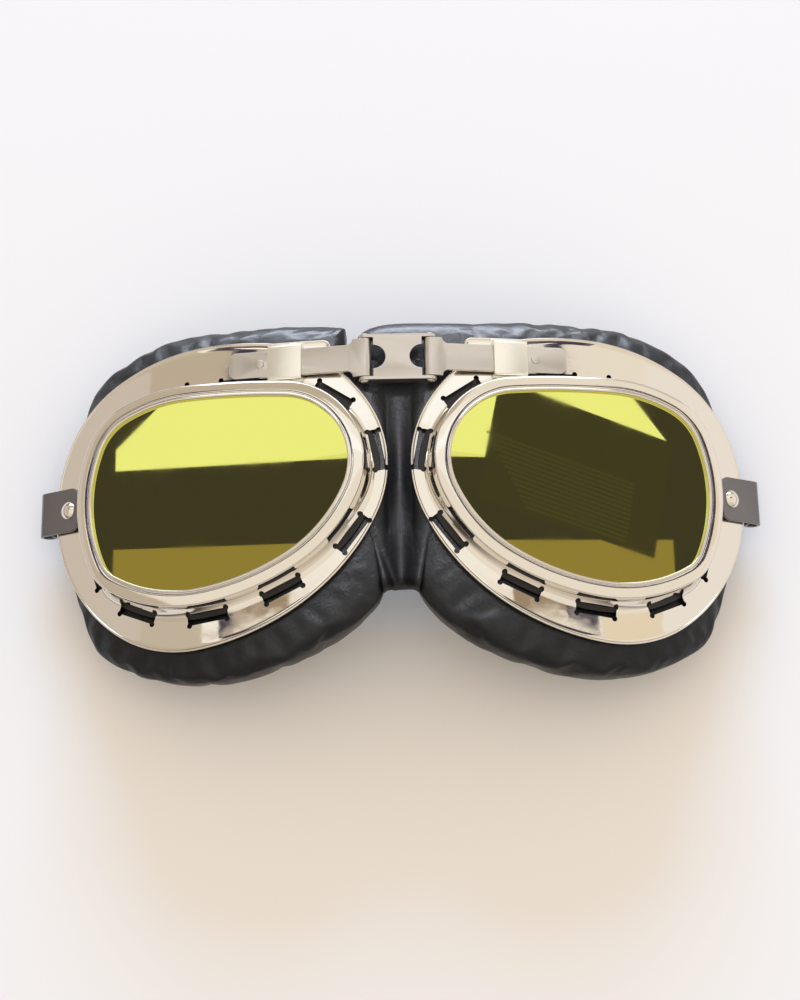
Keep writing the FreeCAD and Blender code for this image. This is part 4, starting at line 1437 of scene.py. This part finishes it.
@dataclass
class Studio:
    """Pale floor, soft light and the camera at the photograph's angle.

    The target, distance, sensor and panel height are in millimetres, and the floor and backdrop in metres.
    """

    leather: list[bpy.types.Object]
    target: tuple[float, float, float] = (0.0, -3.45, 40.2)
    distance: float = 442.0
    elevation: float = 75.0
    roll: float = 1.0
    focal_pixels: float = 1727.0
    frame_pixels: int = 800
    sensor_mm: float = 36.0
    panel_height: float = 1040.0
    floor_size: float = 8.0
    backdrop_radius: float = 3.9
    backdrop_height: float = 4.0
    room_up: tuple[float, float, float] = (0.15, 0.0, 0.99)

    @staticmethod
    def light_up(screen: bpy.types.Object, radiance: tuple[float, float, float]) -> None:
        """Make a piece of the stage a plain screen that shines evenly.

        Args:
            screen: The screen.
            radiance: How bright it looks, in red, green and blue.
        """
        paint = bpy.data.materials.new(screen.name)
        paint.use_nodes = True
        shader = paint.node_tree.nodes["Principled BSDF"]
        shader.inputs["Base Color"].default_value = (0.0, 0.0, 0.0, 1.0)
        shader.inputs["Specular IOR Level"].default_value = 0.0
        shader.inputs["Emission Color"].default_value = (*radiance, 1.0)
        shader.inputs["Emission Strength"].default_value = 1.0
        screen.data.materials.append(paint)

    def make_floor(self) -> None:
        """Floor of pale paper, and a pale backdrop that only the camera sees."""
        clear_selection()
        bpy.ops.mesh.primitive_plane_add(size=self.floor_size)
        floor = bpy.context.object
        floor.name = "floor"
        paper = bpy.data.materials.new("pale_paper")
        paper.use_nodes = True
        shader = paper.node_tree.nodes["Principled BSDF"]
        shader.inputs["Base Color"].default_value = linear("#F4F4F6")
        shader.inputs["Roughness"].default_value = 0.6
        floor.data.materials.append(paper)
        clear_selection()
        bpy.ops.mesh.primitive_cylinder_add(
            vertices=96,
            radius=self.backdrop_radius,
            depth=self.backdrop_height,
            end_fill_type="NOTHING",
            location=(0.0, 0.0, self.backdrop_height / 2),
        )
        backdrop = bpy.context.object
        backdrop.name = "backdrop"
        bpy.ops.object.transform_apply(location=True, rotation=True, scale=True)
        self.light_up(backdrop, (0.82, 0.8, 0.78))
        backdrop.visible_diffuse = backdrop.visible_glossy = backdrop.visible_shadow = False

    def make_camera(self) -> None:
        """Camera that looks down from the chin side."""
        lens = bpy.data.cameras.new("camera")
        lens.sensor_fit = "HORIZONTAL"
        lens.sensor_width = self.sensor_mm
        lens.lens = self.focal_pixels / self.frame_pixels * self.sensor_mm
        lens.clip_start = 0.01
        camera = bpy.data.objects.new("camera", lens)
        bpy.context.scene.collection.objects.link(camera)
        height, turn = math.radians(self.elevation), math.radians(self.roll)
        back = Vector((0, -math.cos(height), math.sin(height)))
        right, up = Vector((1, 0, 0)), Vector((0, math.sin(height), math.cos(height)))
        right, up = right * math.cos(turn) - up * math.sin(turn), up * math.cos(turn) + right * math.sin(turn)
        matrix = Matrix((right, up, back)).transposed().to_4x4()
        matrix.translation = (Vector(self.target) + back * self.distance) * MM
        camera.matrix_world = matrix
        bpy.context.scene.camera = camera

    def add_panel(
        self,
        name: str,
        place: tuple[float, float, float],
        aim: tuple[float, float, float],
        size: tuple[float, float],
        radiance: tuple[float, float, float],
    ) -> bpy.types.Object:
        """Add a soft light panel.

        Args:
            name: Name of the light.
            place: Its middle, in metres.
            aim: Point that it faces.
            size: Its width and height.
            radiance: How bright its face is, in red, green and blue.

        Returns:
            The panel.
        """
        light = bpy.data.lights.new(name, "AREA")
        light.shape = "RECTANGLE"
        light.size, light.size_y = size
        light.energy = max(radiance) * math.pi * size[0] * size[1]
        light.color = tuple(part / max(radiance) for part in radiance)
        panel = bpy.data.objects.new(name, light)
        bpy.context.scene.collection.objects.link(panel)
        panel.location = place
        panel.rotation_euler = (Vector(aim) - Vector(place)).to_track_quat("-Z", "Y").to_euler()
        panel.visible_camera = False
        return panel

    def make_light(self) -> None:
        """Warm room that is dark near the floor, a warm fill overhead, a cool window, sheen on leather."""
        world = bpy.data.worlds.new("room")
        bpy.context.scene.world = world
        world.use_nodes = True
        tree = world.node_tree
        direction = add_node(tree, "ShaderNodeTexCoord", {}).outputs["Generated"]
        lean = add_node(
            tree, "ShaderNodeVectorMath", {0: direction, 1: self.room_up}, operation="DOT_PRODUCT"
        )
        ramp = add_node(tree, "ShaderNodeValToRGB", {0: lean.outputs["Value"]})
        marks = (
            (0.0, (0.10, 0.08, 0.065)),
            (0.12, (0.31, 0.275, 0.24)),
            (0.32, (0.62, 0.55, 0.475)),
            (0.6, (0.84, 0.75, 0.635)),
            (1.0, (0.79, 0.695, 0.575)),
        )
        while len(ramp.color_ramp.elements) < len(marks):
            ramp.color_ramp.elements.new(0.5)
        for mark, (place, colour) in zip(ramp.color_ramp.elements, marks):
            mark.position = place
            mark.color = (*colour, 1.0)
        room = tree.nodes["Background"]
        tree.links.new(ramp.outputs[0], room.inputs["Color"])
        window = self.add_panel("window", (0.0, 3.0, 1.2), (0.0, 0.0, 0.03), (1.5, 0.8), (8.6, 15.0, 24.0))
        fill = self.add_panel("fill", (0.0, -0.5, 2.2), (0.0, 0.0, 0.0), (2.6, 2.6), (0.47, 0.38, 0.3))
        window.visible_glossy = fill.visible_glossy = False
        leather = bpy.data.collections.new("leather_pieces")
        for piece in self.leather:
            leather.objects.link(piece)
        for name, place, size, radiance in (
            ("window_sheen", (0.0, 2.6, 1.4), (2.8, 1.9), (26.0, 28.0, 32.0)),
            ("ceiling_sheen", (0.0, 0.36, 1.04), (0.5, 0.4), (20.0, 20.6, 22.5)),
        ):
            sheen = self.add_panel(name, place, (0.0, 0.0, 0.04), size, radiance)
            sheen.visible_diffuse = False
            sheen.light_linking.receiver_collection = leather

    def add_card(
        self,
        name: str,
        place: tuple[float, ...],
        size: tuple[float, float],
        degrees: float,
        radiance: tuple[float, float, float],
        level: float = 0.0,
        tilt: float = 0.0,
    ) -> None:
        """Hang a card that shows only in mirrors and gloss, so that metal and leather have a room to reflect.

        Args:
            name: Name of the card.
            place: Its middle, right and forehead-wards, and its height where it isn't overhead, in metres.
            size: Its width and height.
            degrees: How far it is turned.
            radiance: How bright it looks, in red, green and blue.
            level: How far it hangs under the highest card, in metres.
            tilt: How far it is tipped up, in degrees.
        """
        clear_selection()
        height = self.panel_height * MM - level if len(place) < 3 else place[2]
        bpy.ops.mesh.primitive_plane_add(
            size=1.0,
            location=(place[0], place[1], height),
            rotation=(math.radians(tilt), 0, math.radians(degrees)),
        )
        card = bpy.context.object
        card.name = name
        card.scale = (*size, 1.0)
        bpy.ops.object.transform_apply(location=True, rotation=True, scale=True)
        self.light_up(card, radiance)
        card.visible_camera = card.visible_diffuse = card.visible_shadow = False

    def make_cards(self) -> None:
        """The room as gloss sees it: pale ceiling, dark furniture, warm walls and a window."""
        dark, wood = (0.07, 0.06, 0.09), (0.4, 0.3, 0.2)
        tan, cream, white = (0.62, 0.53, 0.42), (1.0, 0.93, 0.82), (1.25, 1.25, 1.25)
        self.add_card("near_ceiling", (0.375, -0.2), (2.25, 0.81), 0.0, cream)
        self.add_card("near_ceiling_left", (-1.125, -0.2), (0.75, 0.81), 0.0, tan)
        self.add_card("far_wall_left", (-0.65, 0.91), (1.7, 0.98), 0.0, tan)
        self.add_card("far_wall_right", (0.85, 0.91), (1.3, 0.98), 0.0, cream)
        self.add_card("pale_ceiling", (0.0, 0.31), (1.9, 0.22), 0.0, (1.12, 1.08, 1.0))
        self.add_card("ceiling_end_left", (-1.25, 0.31), (0.6, 0.22), 0.0, (0.66, 0.58, 0.47))
        self.add_card("ceiling_end_right", (1.25, 0.31), (0.6, 0.22), 0.0, (0.95, 0.83, 0.64))
        self.add_card("bridge_ceiling", (0.0, 0.5), (0.8, 0.2), 0.0, (1.12, 1.08, 1.0), 0.002)
        self.add_card("lamp_ceiling", (0.0, 0.38), (1.5, 0.09), 0.0, white, 0.002)
        for sign, word in ((-1, "left"), (1, "right")):
            self.add_card(f"{word}_shade", (sign * 0.63, 0.29), (0.36, 0.1), sign * 4.7, dark, 0.006)
            self.add_card(f"{word}_wall", (sign * 0.63, 0.228), (0.36, 0.066), sign * 4.7, wood, 0.008)
        self.add_card("left_corner", (-0.755, 0.42), (0.3, 0.1), 37.7, dark, 0.01)
        self.add_card("left_post", (-0.785, 0.3), (0.096, 0.2), 0.0, dark, 0.012)
        self.add_card("right_corner", (0.7445, 0.415), (0.2, 0.1), -48.6, dark, 0.01)
        self.add_card("right_post", (0.82, 0.32), (0.2, 0.24), 0.0, dark, 0.012)
        self.add_card("blind", (0.6175, 0.327), (0.19, 0.12), -13.0, (0.075, 0.065, 0.085), 0.014)
        for row in range(14):
            slat = (0.6 + 0.001 * row, 0.335 - 0.0048 * row)
            size = (0.16 - 0.004 * row, 0.0018)
            self.add_card(f"slat_{row}", slat, size, -13.0, (0.1, 0.088, 0.09), 0.016)
        self.add_card("window_pane", (0.0, 2.6, 1.4), (2.8, 1.2), 0.0, (3.0, 3.15, 3.4), tilt=-60.0)
        self.add_card("side_wall_left", (-1.6, 0.3, 0.75), (2.4, 1.1), 90.0, (0.72, 0.64, 0.57), tilt=90.0)
        self.add_card("side_wall_right", (1.6, 0.3, 0.75), (2.4, 1.1), 90.0, (1.02, 0.96, 0.9), tilt=90.0)

    def build(self) -> None:
        """Set the stage."""
        bpy.context.scene.view_settings.view_transform = "Standard"
        self.make_floor()
        self.make_camera()
        self.make_light()
        self.make_cards()


def main() -> None:
    """Build the goggles piece by piece, log each piece's face count, and set the stage."""
    logging.basicConfig(level=logging.INFO, format="%(name)s: %(message)s")
    pieces: list[bpy.types.Object] = []
    for side in Side:
        cushion = Cushion(Eyecup(side))
        pieces += cushion.cup.build()
        pieces.append(cushion.build())
    pieces += MaskCentre().build(cushion)
    pieces += Fittings().build()
    for piece in pieces:
        LOG.info("%s: %d faces", piece.name, len(piece.data.polygons))
    Studio([piece for piece in pieces if piece.data.materials[0] == LEATHER.material()]).build()


if __name__ == "__main__":
    main()
